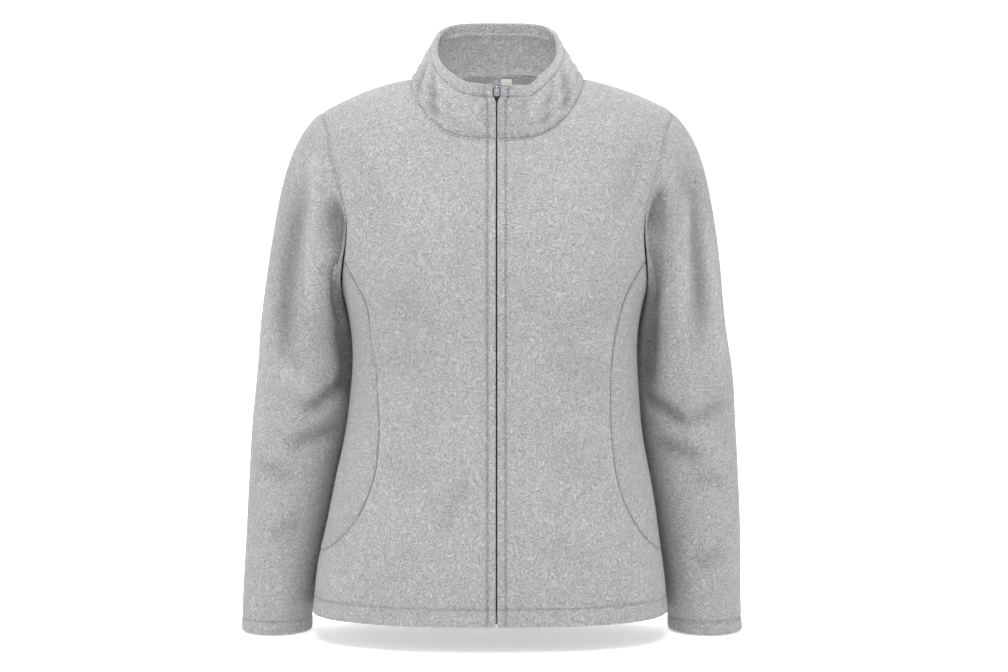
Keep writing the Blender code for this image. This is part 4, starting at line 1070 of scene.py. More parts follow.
def make_front(side, shade):
    places = finer_edges(front_places(side), False, True, False, True)
    points, normals = form(places, "front", side), form_normals(places, "front", side)
    edge = pull_in(points, normals)
    bottom, top, first, last = ways(edge)
    from_centre = np.abs(points[..., 0])
    rise = seam_relief(top) + seam_relief(last)
    grooves = stitch_groove(bottom - HEM_DEPTH) + ZIP_STITCH_DIP * stitch_groove(from_centre - ZIP_FOLD)
    away = smooth((from_centre - ZIP_FLAT) / SMOOTH_FROM_ZIP)
    soft = (body_relief(points, "front") + UNEVEN * slow_waves(points, "front")) * away
    painted_light = with_painted_stitch_shade(painted_crease_shade(soft, "front"), grooves)
    proud = pocket_proud(places)[:, None]
    # Painted highlight along the proud edge of the pocket mouth
    beside = np.exp(-(((last - POCKET_HIGHLIGHT_AT) / POCKET_HIGHLIGHT_WIDE) ** 2))
    painted_light += POCKET_PAINTED_HIGHLIGHT * (proud > 0) * beside
    rise += soft + grooves + pucker(points[..., 0], bottom)
    rise += proud * np.exp(-((last / POCKET_EDGE) ** 2))
    plain = folded_depth(bottom, FOLDED, HEM_DEPTH)
    pressed = 1 - smooth((from_centre - ZIP_FOLD) / ZIP_FOLD_SOFT["front"])
    depth = plain + (ZIP_FOLDED - plain) * pressed
    turned = ((bottom, TURNED_ROUND * FOLDED), (first, ZIP_ROUND))
    name = "front_%s_cloth" % side
    made, outer = panel(name, edge, normals, rise, depth, (top, last), turned, shade, painted_light)
    return made, outer, points, normals


def make_side_front(side, shade):
    places = finer_edges(side_front_places(side), False, True, True, True)
    points, normals = form(places, "front", side), form_normals(places, "front", side)
    edge = pull_in(points, normals)
    distances = ways(edge)
    soft = body_relief(points, "front") + UNEVEN * slow_waves(points, "front")
    rise = soft + sum(seam_relief(distance) for distance in distances[1:])
    depth = np.full(rise.shape, FLEECE)
    painted_light = painted_crease_shade(soft, "side_front")
    return panel("side_front_%s_cloth" % side, edge, normals, rise, depth, distances, (), shade, painted_light)[0]


def make_back(shade):
    halves = {}
    for side in ("right", "left"):
        places = finer_edges(back_places(side), False, True, False, True)
        halves[side] = (form(places, "back", side), form_normals(places, "back", side))
    points, normals = (
        np.concatenate([halves["right"][k][:, ::-1], halves["left"][k][:, 1:]], axis=1) for k in (0, 1)
    )
    edge = pull_in(points, normals)
    bottom, top, first, last = ways(edge)
    rise = seam_relief(top) + seam_relief(first) + seam_relief(last)
    grooves = stitch_groove(bottom - HEM_DEPTH)
    soft = body_relief(points, "back") + UNEVEN * slow_waves(points, "back")
    rise += soft + grooves + pucker(points[..., 0], bottom)
    depth = folded_depth(bottom, FOLDED, HEM_DEPTH)
    turned = ((bottom, TURNED_ROUND * FOLDED),)
    painted_light = with_painted_stitch_shade(painted_crease_shade(soft, "back"), grooves)
    made, outer = panel("back_cloth", edge, normals, rise, depth, (top, first, last), turned, shade, painted_light)
    return made, outer, normals


# What is sewn to an edge of the body


def edge_frame(points, normals, centre):
    """For a seam line, the direction in the cloth that leads off the body, toward the centre."""
    off = unit(np.cross(np.gradient(points, axis=0), normals))
    return off * np.sign(((centre - points) * off).sum(1))[:, None]


def seam_start(points, normals, off, leave):
    """Where a joined wall's outer edge starts, half a gap from the seam on the far side."""
    turned = 1 - (off * leave).sum(1)
    return points + unit(off + leave + normals * turned[:, None] * SEAM_LIFT) * SEAM_GAP


def joined_normals(normals, body, leave, along):
    """Thickness directions of a joined wall, which turn from its seam's to its own."""
    share = smooth((leave * body).sum(1) / SEAM_VALLEY)[:, None]
    first = unit(body * (1 - share) + normals[0] * share)
    turned = smooth(along / SEAM_TURN)[..., None]
    return unit(first[None] * (1 - turned) + normals * turned)


def shares_along(path):
    way = distances_along(path)
    return way / way[-1]


def neck_ring():
    """The neckline from the wearer's right zip edge round the back to the left one."""
    starts = np.array(ZIP_LINES)
    behind = np.array([0.0])
    parts = (
        ("front", "right", neck_line("front", "right", starts)),
        ("back", "right", neck_line("back", "right", behind)[:-1][::-1]),
        ("back", "left", neck_line("back", "left", behind)[1:-1]),
        ("front", "left", neck_line("front", "left", starts)[::-1]),
    )
    points = np.vstack([form(places, half, side) for half, side, places in parts])
    normals = np.vstack([form_normals(places, half, side) for half, side, places in parts])
    return points, normals


def collar_edge(count):
    """Half of the collar's top edge from above, from the centre front to the centre back."""
    swing = np.linspace(0.0, math.pi, count)
    front = swing < math.pi / 2
    deep = np.where(front, COLLAR_TOP_FRONT + COLLAR_WIDEST_Y, COLLAR_TOP_BACK - COLLAR_WIDEST_Y)
    swollen = swell(swing, np.where(front, COLLAR_FRONT_SQUARE, COLLAR_BACK_SQUARE))
    x = COLLAR_TOP_HALF * swollen * np.sin(swing)
    return np.stack([x, COLLAR_WIDEST_Y - deep * swollen * np.cos(swing)], -1)


def collar_tops(base):
    """The collar's top edge above each point of the neckline, at the same share of its length."""
    edge = collar_edge(FINE_EDGE)
    edge_shares = shares_along(edge)
    behind = len(base) // 2
    tops = np.zeros(base.shape)
    for half, sign in ((slice(0, behind + 1), -1), (slice(-1, behind - 1, -1), 1)):
        shares = shares_along(base[half])
        tops[half, 0] = sign * np.interp(shares, edge_shares, edge[:, 0])
        tops[half, 1] = np.interp(shares, edge_shares, edge[:, 1])
    tops[:, 2] = COLLAR_TOP_Z + COLLAR_TOP_SLOPE * tops[:, 1]
    turns = np.degrees(np.arctan2(tops[:, 0], -tops[:, 1]))
    sag_turn, sag_spread, sag = COLLAR_SAG
    tops[:, 2] -= sag * np.exp(-(((turns - sag_turn) / sag_spread) ** 2))
    return tops


def part_zip_edges(points, shares):
    """Sets the collar's columns beside the zip at fixed distances, parted toward the top round the
    slider, and shifts the columns next to them by an amount that dies out."""
    low, high = ZIP_PARTED_OVER
    parted = smooth((shares - low) / (high - low)) * (ZIP_PARTED - ZIP_EDGE)
    at = (ZIP_EDGE, ZIP_FOLD, ZIP_FLAT)
    last = len(ZIP_LINES) - 1
    for sign, step in ((-1, 1), (1, -1)):
        first = 0 if step > 0 else -1
        lines = points[:, first + step * last, 0] * sign
        end = ZIP_LINES[last] + parted * ZIP_PARTED_SHARES[-1]
        for k in range(points.shape[1] // 2):
            if k <= last:
                x = ZIP_LINES[k] + parted * np.interp(ZIP_LINES[k], at, ZIP_PARTED_SHARES)
            else:
                x = points[:, first + step * k, 0] * sign
                if (x - lines).min() > ZIP_PARTED_FADE:
                    break
                x = x + (end - lines) * (1 - smooth((x - lines) / ZIP_PARTED_FADE))
            points[:, first + step * k, 0] = sign * x


def make_collar(shade):
    base, body = neck_ring()
    tops = collar_tops(base)
    leave = unit(tops - base)
    start = seam_start(base, body, edge_frame(base, body, np.array(NECK_MIDDLE)), leave)
    shares = np.array(COLLAR_SHARES)
    points = start + (tops - start) * shares[:, None, None]
    part_zip_edges(points, shares)
    normals = grid_normals(points, False, np.array(COLLAR_MIDDLE))
    turns = np.degrees(np.arctan2(base[:, 0], -base[:, 1]))
    relief = collar_relief(turns, shares)
    points = points + normals * relief[..., None]
    normals = grid_normals(points, False, np.array(COLLAR_MIDDLE))
    bottom, top, first, last = ways(points)
    from_zip = np.minimum(first, last)
    normals = joined_normals(normals, body, leave, bottom)
    stitched_row = COLLAR_SHARES.index(COLLAR_STITCH)
    grooves = stitch_groove(bottom - bottom[stitched_row])
    grooves += ZIP_STITCH_DIP * stitch_groove(from_zip - (ZIP_FOLD - ZIP_EDGE))
    rise = seam_relief(bottom) + grooves
    free = free_of_zip(turns)[None, :]
    rise += UNEVEN * slow_waves(points, "collar") * free
    rolled = smooth((shares - COLLAR_FOLD_ENDS[0]) / (COLLAR_FOLD_ENDS[1] - COLLAR_FOLD_ENDS[0]))
    depth = FLEECE + (COLLAR_FOLDED - FLEECE) * rolled[:, None] + 0 * from_zip
    pressed = 1 - smooth((from_zip - ZIP_FOLD) / ZIP_FOLD_SOFT["collar"])
    depth = depth + (ZIP_FOLDED - depth) * pressed
    turned = ((top, TURNED_ROUND * depth[-1]), (first, ZIP_ROUND), (last, ZIP_ROUND))
    painted_light = with_painted_stitch_shade(painted_crease_shade(relief - COLLAR_BULGE, "collar"), grooves)
    made, outer = panel("collar_cloth", points, normals, rise, depth, (bottom,), turned, shade, painted_light)
    return made, outer, points, normals


def sleeve_ring(table, drop, side):
    """Centre and half sizes of the sleeve at this distance below the shoulder line."""
    inner, outer = table["inner_" + side](drop), table["outer_" + side](drop)
    return (inner + outer) / 2, table["centre_y"](drop), (outer - inner) / 2, table["half_deep"](drop)


def around(sizes, angles, drop, sign):
    """The sleeve's points at these angles, from the centre and half sizes of its ring."""
    centre_x, centre_y, half_wide, half_deep = sizes
    x = sign * (centre_x + half_wide * np.cos(angles))
    return np.stack([x, centre_y - half_deep * np.sin(angles), np.full(angles.shape, -drop)], -1)


def arm_ring(side):
    """The armhole from the shoulder down the front, under the arm and up the back."""
    parts = (("front", arm_line("front", side)[::-1]), ("back", arm_line("back", side)[1:-1]))
    points = np.vstack([form(places, half, side) for half, places in parts])
    normals = np.vstack([form_normals(places, half, side) for half, places in parts])
    return points, normals


def ring_angles(points):
    """An angle round the sleeve for each point of the armhole, by its share of the seam."""
    low = ARM_FOOT_STEPS + ARM_ROUND_STEPS + ARM_UPPER_STEPS
    way = distances_along(np.vstack([points, points[:1]]))
    down = math.pi * way[:-1] / way[low]
    up = math.pi * (1 + (way[:-1] - way[low]) / (way[-1] - way[low]))
    return np.where(np.arange(len(points)) <= low, down, up)


def arm_leaves(seam, sign):
    """The direction in which the sleeve leaves each point of the armhole, and how high that is."""
    top, low = seam[0, 2], seam[:, 2].min()
    high = np.clip((seam[:, 2] - low) / (top - low), 0, 1)
    out = ARM_LEAVES_OUT[0] + ARM_LEAVES_OUT[1] * high ** ARM_LEAVES_OUT[2]
    down = ARM_LEAVES_DOWN[0] + ARM_LEAVES_DOWN[1] * high ** ARM_LEAVES_DOWN[2]
    return unit(np.stack([sign * out, 0 * high, -down], axis=1)), high


def arm_start(seam, body, leave, sign):
    """The sleeve's first ring, half a gap from the armhole."""
    closed = np.concatenate([seam[-2:], seam, seam[:2]])
    closed_body = np.concatenate([body[-2:], body, body[:2]])
    centre = np.array([sign * ARM_MIDDLE[0], *ARM_MIDDLE[1:]])
    return seam_start(seam, body, edge_frame(closed, closed_body, centre)[2:-2], leave)


def root_rows(start, leave, high, angles, table, first, side):
    """Rings from the armhole to the biceps, each point on a smooth curve between the two."""
    sign = 1 if side == "left" else -1
    end = around(sleeve_ring(table, first, side), angles, first, sign)
    next_drop = first + ARM_ROOT_STEP
    onward = unit(around(sleeve_ring(table, next_drop, side), angles, next_drop, sign) - end)
    long = np.linalg.norm(end - start, axis=1)[:, None]
    early = long * (ARM_REACH[0] + (ARM_REACH[1] - ARM_REACH[0]) * high[:, None])
    steps = np.arange(SLEEVE_ROOT_STEPS + 1) / SLEEVE_ROOT_STEPS
    times = np.sort(np.concatenate([steps, np.array(SEAM_SHARES) / SLEEVE_ROOT_STEPS])) ** ARM_ROOT_SPREAD
    rows = []
    for t in times:
        a = 2 * t**3 - 3 * t**2 + 1
        b = t**3 - 2 * t**2 + t
        c = -2 * t**3 + 3 * t**2
        d = t**3 - t**2
        rows.append(a * start + b * leave * early + c * end + d * onward * long * ARM_LATE)
    return rows


def make_sleeve(side, shade):
    sign = 1 if side == "left" else -1
    drops = column(SLEEVE, SLEEVE_COLUMNS, "drop")
    table = {name: spline(drops, column(SLEEVE, SLEEVE_COLUMNS, name)) for name in SLEEVE_COLUMNS[1:]}
    seam, body = arm_ring(side)
    angles = ring_angles(seam)
    leave, high = arm_leaves(seam, sign)
    rows = root_rows(arm_start(seam, body, leave, sign), leave, high, angles, table, drops[0], side)
    cuff = drops[-1] - np.array(CUFF_LINES + CUFF_MORE)[::-1]
    for drop in np.concatenate([np.linspace(drops[0], cuff[0], SLEEVE_STEPS + 1)[1:-1], cuff]):
        rows.append(around(sleeve_ring(table, drop, side), angles, drop, sign))
    points = np.array(rows)
    axis = points.mean(axis=1, keepdims=True)
    normals = grid_normals(points, True, axis)
    degrees = np.degrees(angles)[None, :] + 0 * points[..., 0]
    relief = sleeve_relief(side, degrees, -points[..., 2]) * smooth(ways(points)[0] / CREASE_FREE)
    points = points + normals * relief[..., None]
    normals = grid_normals(points, True, axis)
    top, bottom = ways(points)[:2]
    normals = joined_normals(normals, body, leave, top)
    grooves = stitch_groove(bottom - CUFF_DEPTH)
    rise = seam_relief(top) + grooves + pucker(degrees * METRES_A_DEGREE, bottom)
    inside, calmer = SLEEVE_INSIDE
    calm = 1 - calmer * smooth(-np.cos(np.radians(degrees)) / inside)
    rise += UNEVEN * slow_waves(points, "sleeve") * smooth(top / SLEEVE_EVEN_OVER) * calm
    depth = folded_depth(bottom, FOLDED, CUFF_DEPTH)
    turned = ((bottom, TURNED_ROUND * FOLDED),)
    painted_light = with_painted_stitch_shade(painted_crease_shade(relief, "sleeve"), grooves)
    name = "sleeve_%s_cloth" % side
    made, outer = panel(name, points, normals, rise, depth, (top,), turned, shade, painted_light, closed=True)
    return made, outer, normals


# Seams


def between(normals, leave):
    """Directions halfway between the body's and those of a wall that leaves it."""
    joined = unit(normals - leave * (normals * leave).sum(1)[:, None])
    return unit(normals + joined)


def body_seams():
    """The body's seam lines, each with its kind: points and outward directions."""
    points, normals = neck_ring()
    seams = [("neck", points, between(normals, unit(collar_tops(points) - points)))]
    for side, sign in (("right", -1), ("left", 1)):
        points, normals = arm_ring(side)
        normals = between(normals, arm_leaves(points, sign)[0])
        seams.append(("arm", np.vstack([points, points[:2]]), np.vstack([normals, normals[:2]])))
        joins = (
            ("plain", shoulder_line(side)),
            ("plain", side_line(SECTIONS[0][0], UNDERARM, 2 * POCKET_STEPS)),
            ("pocket", pocket_line(side)),
        )
        for kind, places in joins:
            points, normals = form(places, "front", side), form_normals(places, "front", side)
            seams.append((kind, points[1:-1], normals[1:-1]))
    return seams


def make_allowances(shade):
    """The turned-in cloth that fills the seams behind their grooves, as a cord along each."""
    bm = bmesh.new()
    for kind, points, normals in body_seams():
        deep, half = ALLOWANCES[kind]
        across = unit(np.cross(np.gradient(points, axis=0), normals))
        rings = []
        for centre, side, out in zip(points - normals * deep, across, normals):
            rings.append(ring(centre, side * half, out * half, ALLOWANCE_SIDES))
        tube(bm, rings)
    add_piece("seam_allowances", bm, shade, "thread")


# Stitching


def resampled(path, facing, pitch):
    """Points at even distances along a path, with its direction and the outward one at each."""
    way = distances_along(path)
    at = np.arange(pitch / 2, way[-1], pitch)
    points, ahead, out = (
        np.stack([np.interp(where, way, values[:, k]) for k in range(3)], -1)
        for where, values in ((at, path), (at + pitch / 4, path), (at, facing))
    )
    along = unit(ahead - points)
    return points, along, unit(out - along * (out * along).sum(1)[:, None])


def make_stitches(name, lines, shade):
    """Stitches along lines on the cloth: short threads that dive into it at both ends."""
    bm = bmesh.new()
    for path, facing in lines:
        for middle, along, out in zip(*resampled(path, facing, STITCH_PITCH)):
            across = np.cross(along, out)
            rings = []
            for share, depth, wide in STITCH_FORM:
                centre = middle + along * STITCH_LONG * share - out * depth
                half = THREAD * wide
                rings.append(ring(centre, across * half, out * half, THREAD_SIDES))
            tube(bm, rings)
    add_piece(name, bm, shade, "thread")


# Zip


def zip_face(front, collar):
    """The wearer's left zip edge from the hem to the collar's top: points and flat directions."""
    points, normals = front
    collar_points, collar_normals = collar
    last = len(ZIP_LINES)
    up = np.concatenate([points[:-1, :last], collar_points[1:, ::-1][:, :last]])
    out = np.concatenate([normals[:-1, :last], collar_normals[1:, ::-1][:, :last]])
    bend = len(points) - 1
    near = slice(bend - BEND_ROWS, bend + BEND_ROWS)
    for _ in range(BEND_PASSES):
        out[near] = ((out[:-2] + out[1:-1] + out[2:]) / 3)[near.start - 1 : near.stop - 1]
    out[..., 0] = 0.0
    return up, unit(out)


def make_tape(side, face, shade):
    points, normals = face
    sign = 1 if side == "left" else -1
    xs = np.linspace(*TAPE_REACH, TAPE_STEPS)
    at, out = np.zeros((2, len(points), TAPE_STEPS, 3))
    for i, (row, directions) in enumerate(zip(points, normals)):
        for k in (1, 2):
            at[i, :, k] = np.interp(xs, ZIP_LINES, row[:, k])
            out[i, :, k] = np.interp(xs, ZIP_LINES, directions[:, k])
    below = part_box("zip_box")[0][2]
    ends = smooth((below + TAPE_MEETS - at[:, :, 2]) / TAPE_MEETS)
    inner_share = (TAPE_REACH[1] - xs) / (TAPE_REACH[1] - TAPE_REACH[0])
    at[..., 0] = sign * (xs - ends * (TAPE_REACH[0] - TAPE_END) * inner_share)
    out = unit(out)
    low, high = (corner[2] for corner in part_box("zip_tape_" + side))
    inside = (at[:, 0, 2] > low) & (at[:, 0, 2] < high)
    outer = (at - out * CHAIN_DEPTH)[inside]
    inner = (at - out * (CHAIN_DEPTH + TAPE_THICK))[inside]
    return cloth("zip_tape_%s_cloth" % side, outer, inner, shade)


def chain_path(face):
    """The middle of the closed teeth, from the bottom box up to the slider, with its directions."""
    points, normals = face
    centre, out = points[:, 0] * (0, 1, 1), normals[:, 0]
    low, high = (corner[2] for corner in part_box("zip_chain"))
    centre = centre - out * (CHAIN_DEPTH + CHAIN_THICK / 2)
    heights = np.linspace(low, high, FINE_CHAIN)
    path, facing = np.zeros((2, FINE_CHAIN, 3))
    for k in (1, 2):
        path[:, k] = np.interp(heights, centre[:, 2], centre[:, k])
        facing[:, k] = np.interp(heights, centre[:, 2], out[:, k])
    return path, unit(facing)


def add_tooth(bm, centre, up, out, sign):
    """One loop of the coil: a bar from the tape to just past the middle, with a rounded head."""
    rings = []
    for x, half_high, half_deep in TOOTH_FORM:
        middle = centre + np.array([sign * x, 0.0, 0.0])
        rings.append(ring(middle, up * half_high, out * half_deep, TOOTH_SIDES, 0.5))
    tube(bm, rings)


def make_teeth(path, facing, shade):
    """Two rows of teeth and, behind them, the cord that the coils are wound round."""
    bm = bmesh.new()
    corners = np.array([(-1, 0), (1, 0), (1, 1), (-1, 1)]) * (CORD_HALF, -CORD_THICK)
    rings = []
    for centre, out in zip(path - facing * (CHAIN_THICK / 2 - CORD_THICK), facing):
        rings.append([centre + np.array([x, 0.0, 0.0]) + out * y for x, y in corners])
    tube(bm, rings)
    for k, (centre, up, out) in enumerate(zip(*resampled(path, facing, TOOTH_PITCH / 2))):
        add_tooth(bm, centre, up, out, 1 if k % 2 else -1)
    return add_piece("zip_teeth_rows", bm, shade, "teeth")


def rounded_outline(half_wide, low, high, square, narrow):
    """A rounded outline of (x, z) points, narrower at its top by this share."""
    angles = 2 * math.pi * np.arange(OUTLINE_STEPS) / OUTLINE_STEPS
    swollen = swell(angles, square)
    z = (low + high) / 2 - (high - low) / 2 * swollen * np.cos(angles)
    x = half_wide * swollen * np.sin(angles) * (1 - narrow * (z - low) / (high - low))
    return list(zip(x, z))


def add_plate(bm, outline, near, far, hole=None):
    """A flat plate between two depths y, with an optional hole of as many points."""
    loops = [[bm.verts.new((x, y, z)) for x, z in outline] for y in (near, far)]
    rim(bm, loops[0], loops[1], True)
    if hole is None:
        bm.faces.new(loops[0][::-1])
        bm.faces.new(loops[1])
        return
    inner = [[bm.verts.new((x, y, z)) for x, z in hole] for y in (near, far)]
    rim(bm, inner[1], inner[0], True)
    rim(bm, inner[0], loops[0], True)
    rim(bm, loops[1], inner[1], True)


def metal_piece(name, bm, place, lean, radius, shade, body):
    """Leans a small metal piece back about its origin, puts it in its place and rounds its edges."""
    bmesh.ops.transform(bm, matrix=mathutils.Matrix.Rotation(-math.radians(lean), 4, "X"), verts=bm.verts)
    bmesh.ops.translate(bm, vec=mathutils.Vector(place), verts=bm.verts)
    made = add_piece(name, bm, shade, "metal", body)
    bevel = made.modifiers.new("rounding", "BEVEL")
    bevel.width = radius
    bevel.segments = BEVEL_SEGMENTS
    bevel.limit_method = "ANGLE"
    bevel.angle_limit = math.radians(BEVEL_ABOVE)
    return made


def make_slider(place, shade):
    outline = rounded_outline(SLIDER_HALF, SLIDER_LOW, SLIDER_HIGH, SLIDER_SQUARE, SLIDER_NARROW)
    core = rounded_outline(CORE_HALF, CORE_LOW, SLIDER_HIGH - CORE_SHORT, CORE_SQUARE, 0.0)
    bm = bmesh.new()
    add_plate(bm, outline, -PLATE_GAP - PLATE_THICK, -PLATE_GAP)
    add_plate(bm, outline, PLATE_GAP, PLATE_GAP + PLATE_THICK)
    add_plate(bm, core, -PLATE_GAP - JOIN, PLATE_GAP + JOIN)
    body = metal_piece("zip_slider_body", bm, place, 0.0, SLIDER_ROUND, shade, "garment")
    bm = bmesh.new()
    path = np.array(BRIDGE_PATH)
    along = unit(np.gradient(path, axis=0))
    angles = 2 * math.pi * (np.arange(BRIDGE_SIDES) + 0.5) / BRIDGE_SIDES
    swollen = swell(angles, BRIDGE_SQUARE)
    xs, deep = BRIDGE_HALF * swollen * np.sin(angles), BRIDGE_THICK * swollen * np.cos(angles)
    rings = []
    for (y, z), (dy, dz) in zip(path, along):
        rings.append([(x, y - dz * d, z + dy * d) for x, d in zip(xs, deep)])
    tube(bm, rings)
    bridge = metal_piece("zip_slider_bridge", bm, place, 0.0, BRIDGE_ROUND, shade, "garment")
    return body, bridge


def make_pull(pivot, shade):
    """The tab, hung on the bridge by its slot and leaned back over the collar's top."""
    bm = bmesh.new()
    outline = rounded_outline(PULL_HALF, -PULL_THICK / 2, PULL_LONG, PULL_SQUARE, PULL_NARROW)
    slot = rounded_outline(PULL_SLOT_HALF, PULL_THICK / 2, PULL_SLOT, PULL_SLOT_SQUARE, 0.0)
    add_plate(bm, outline, -PULL_THICK / 2, PULL_THICK / 2, slot)
    return metal_piece("zip_pull_tab", bm, pivot, PULL_LEAN, PULL_ROUND, shade, "pull")


def make_bottom_box(shade):
    """The box that holds the zip's lower end, with a raised button on its front."""
    low, high = (np.array(corner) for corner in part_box("zip_box"))
    bm = bmesh.new()
    middle = (low + high) / 2
    half = (high - low) / 2
    outline = rounded_outline(half[0], -half[2], half[2], BOX_SQUARE, 0.0)
    add_plate(bm, outline, -half[1], half[1])
    small = BUTTON_SHARE * half
    button = rounded_outline(small[0], -small[2], small[2], BUTTON_SQUARE, 0.0)
    add_plate(bm, button, -half[1] - BUTTON_RISE, -half[1] + JOIN)
    return metal_piece("zip_bottom_box", bm, middle, 0.0, BOX_ROUND, shade, "garment")


def make_label(shade):
    heights, reaches = np.linspace(*LABEL_Z, LABEL_STEPS), np.linspace(*LABEL_X, LABEL_STEPS)
    places = np.array([place_at(reaches, np.full(LABEL_STEPS, z), "back", "left") for z in heights])
    points, normals = form(places, "back", "left"), form_normals(places, "back", "left")
    outer = points - normals * (FLEECE + LABEL_CLEAR)
    return cloth("neck_label_cloth", outer, outer - normals * LABEL_THICK, shade)


# Materials


# Sockets of the mix node that its colours use
MIX_SHARE, MIX_FIRST, MIX_SECOND = 0, 6, 7
MIX_COLOUR = 2


class Nodes:
    """A material's nodes, added one after another and linked by their sockets' names."""

    def __init__(self, name):
        self.material = bpy.data.materials.new(name)
        self.material.use_nodes = True
        self.tree = self.material.node_tree
        self.shader = self.tree.nodes["Principled BSDF"]
        self.place = self.add("ShaderNodeTexCoord").outputs["Object"]

    def add(self, kind, values=(), **settings):
        node = self.tree.nodes.new(kind)
        for key, value in settings.items():
            setattr(node, key, value)
        for key, value in dict(values).items():
            if isinstance(value, bpy.types.NodeSocket):
                self.tree.links.new(value, node.inputs[key])
            else:
                node.inputs[key].default_value = value
        return node

    def maths(self, operation, a, b=0.0):
        return self.add("ShaderNodeMath", {0: a, 1: b}, operation=operation).outputs[0]

    def vector(self, operation, a, b):
        values = {0: a, "Scale" if operation == "SCALE" else 1: b}
        return self.add("ShaderNodeVectorMath", values, operation=operation).outputs[0]

    def bands(self, scale, distortion, across="X"):
        values = {"Vector": self.place, "Scale": scale, "Distortion": distortion}
        return self.add("ShaderNodeTexWave", values, bands_direction=across).outputs["Fac"]

    def woven(self, ribs, distortion):
        across, up = ribs
        return self.maths("MULTIPLY", self.bands(across, distortion), self.bands(up, distortion, "Z"))

    def noise(self, scale, detail=2.0, rough=0.5, vector=None, output="Fac"):
        values = {
            "Vector": self.place if vector is None else vector,
            "Scale": scale,
            "Detail": detail,
            "Roughness": rough,
        }
        return self.add("ShaderNodeTexNoise", values).outputs[output]

    def span(self, value, low, high, first, last):
        values = {"Value": value, "From Min": low, "From Max": high, "To Min": first, "To Max": last}
        return self.add("ShaderNodeMapRange", values).outputs["Result"]

    def blend(self, share, first, second):
        values = {MIX_SHARE: share, MIX_FIRST: first, MIX_SECOND: second}
        return self.add("ShaderNodeMix", values, data_type="RGBA").outputs[MIX_COLOUR]

    def finish(self, colour, height, distance, strength=1.0, **values):
        self.tree.links.new(colour, self.shader.inputs["Base Color"])
        relief = {"Height": height, "Distance": distance, "Strength": strength}
        bump = self.add("ShaderNodeBump", relief)
        self.tree.links.new(bump.outputs["Normal"], self.shader.inputs["Normal"])
        for key, value in values.items():
            self.shader.inputs[key.replace("_", " ")].default_value = value
        return self.material


def grey(value, blue=1.02):
    return (value, value, value * blue, 1.0)


def curls_of(nodes, vector, scale, turns, seed):
    """Wavy strokes side by side that swirl like a fingerprint: bands of equal value of a noise."""
    moved = nodes.vector("ADD", vector, (seed, seed * 0.7, seed * 1.3))
    level = nodes.noise(scale, 0.0, vector=moved)
    wave = nodes.maths("SINE", nodes.maths("MULTIPLY", level, 2 * math.pi * turns))
    return nodes.span(wave, -1.0, 1.0, 0.0, 1.0)


def fleece_material():
    nodes = Nodes("heather_fleece")
    shift = nodes.vector("SUBTRACT", nodes.noise(BEND_SCALE, 1.0, output="Color"), (0.5, 0.5, 0.5))
    bent = nodes.vector("ADD", nodes.place, nodes.vector("SCALE", shift, BEND_REACH))
    strokes = {}
    for name, scale, seed, gaps in STROKES:
        curls = curls_of(nodes, bent, CURL_SCALE * scale, CURL_TURNS, seed)
        broken = nodes.span(nodes.noise(gaps, 1.0), *STROKE_GAPS, 1.0)
        strokes[name] = nodes.maths("MULTIPLY", nodes.span(curls, STROKE_THIN, 1.0, 0.0, 1.0), broken)
    fine = curls_of(nodes, nodes.place, FINE_SCALE, CURL_TURNS, FINE_SEED)
    fibres = nodes.noise(FIBRE_SCALE, 2.0, 0.7)
    low_strokes = nodes.maths("MULTIPLY", strokes["dark"], DARK_DEPTH)
    height = nodes.maths("SUBTRACT", strokes["light"], low_strokes)
    for part, share in ((fine, FINE_SHARE), (fibres, FIBRE_SHARE)):
        height = nodes.maths("ADD", height, nodes.maths("MULTIPLY", part, share))
    tones = {name: grey(value) for name, value in FLEECE_TONES.items()}
    mottle = nodes.span(nodes.noise(MOTTLE_SCALE, 3.0, 0.6), 0.3, 0.7, 0.0, 1.0)
    heather = nodes.span(nodes.noise(HEATHER_SCALE, 2.0, 0.65), 0.4, 0.6, HEATHER_SHARE, 0.0)
    base = nodes.blend(mottle, tones["dark"], tones["light"])
    base = nodes.blend(heather, base, tones["fibres"])
    for name, tone in (("dark", "fibres"), ("light", "tips")):
        share = nodes.maths("MULTIPLY", strokes[name], STROKE_TONE)
        base = nodes.blend(share, base, tones[tone])
    # The painted light and shade, read from the cloth's attribute, scale the fleece's colour; pieces without
    # it read 0 there and are left as they are, at a factor of 1
    painted_light = nodes.add("ShaderNodeAttribute", attribute_name="painted_light").outputs["Fac"]
    painted_light = nodes.maths("ADD", painted_light, nodes.maths("LESS_THAN", painted_light, 0.1))
    base = nodes.vector("SCALE", base, painted_light)
    soft = {"Roughness": 0.95, "Specular_IOR_Level": 0.15, "Sheen_Weight": 0.30, "Sheen_Roughness": 0.5}
    return nodes.finish(base, height, 0.0010, 0.9, **soft)


def thread_material():
    nodes = Nodes("grey_thread")
    twist = nodes.bands(THREAD_TWIST, 2.0)
    base = nodes.blend(twist, *map(grey, TONES["thread"]))
    return nodes.finish(base, twist, 0.0002, 0.6, Roughness=0.6, Sheen_Weight=0.1)


def tape_material():
    nodes = Nodes("woven_tape")
    weave = nodes.woven(TAPE_RIBS, 0.4)
    base = nodes.blend(weave, *map(grey, TONES["tape"]))
    return nodes.finish(base, weave, 0.0003, 0.7, Roughness=0.75, Sheen_Weight=0.1)


def teeth_material():
    nodes = Nodes("nylon_teeth")
    wear = nodes.noise(TEETH_WEAR, 2.0)
    base = nodes.blend(wear, *map(grey, TONES["teeth"]))
    return nodes.finish(base, wear, 0.0001, 0.3, Roughness=0.38)


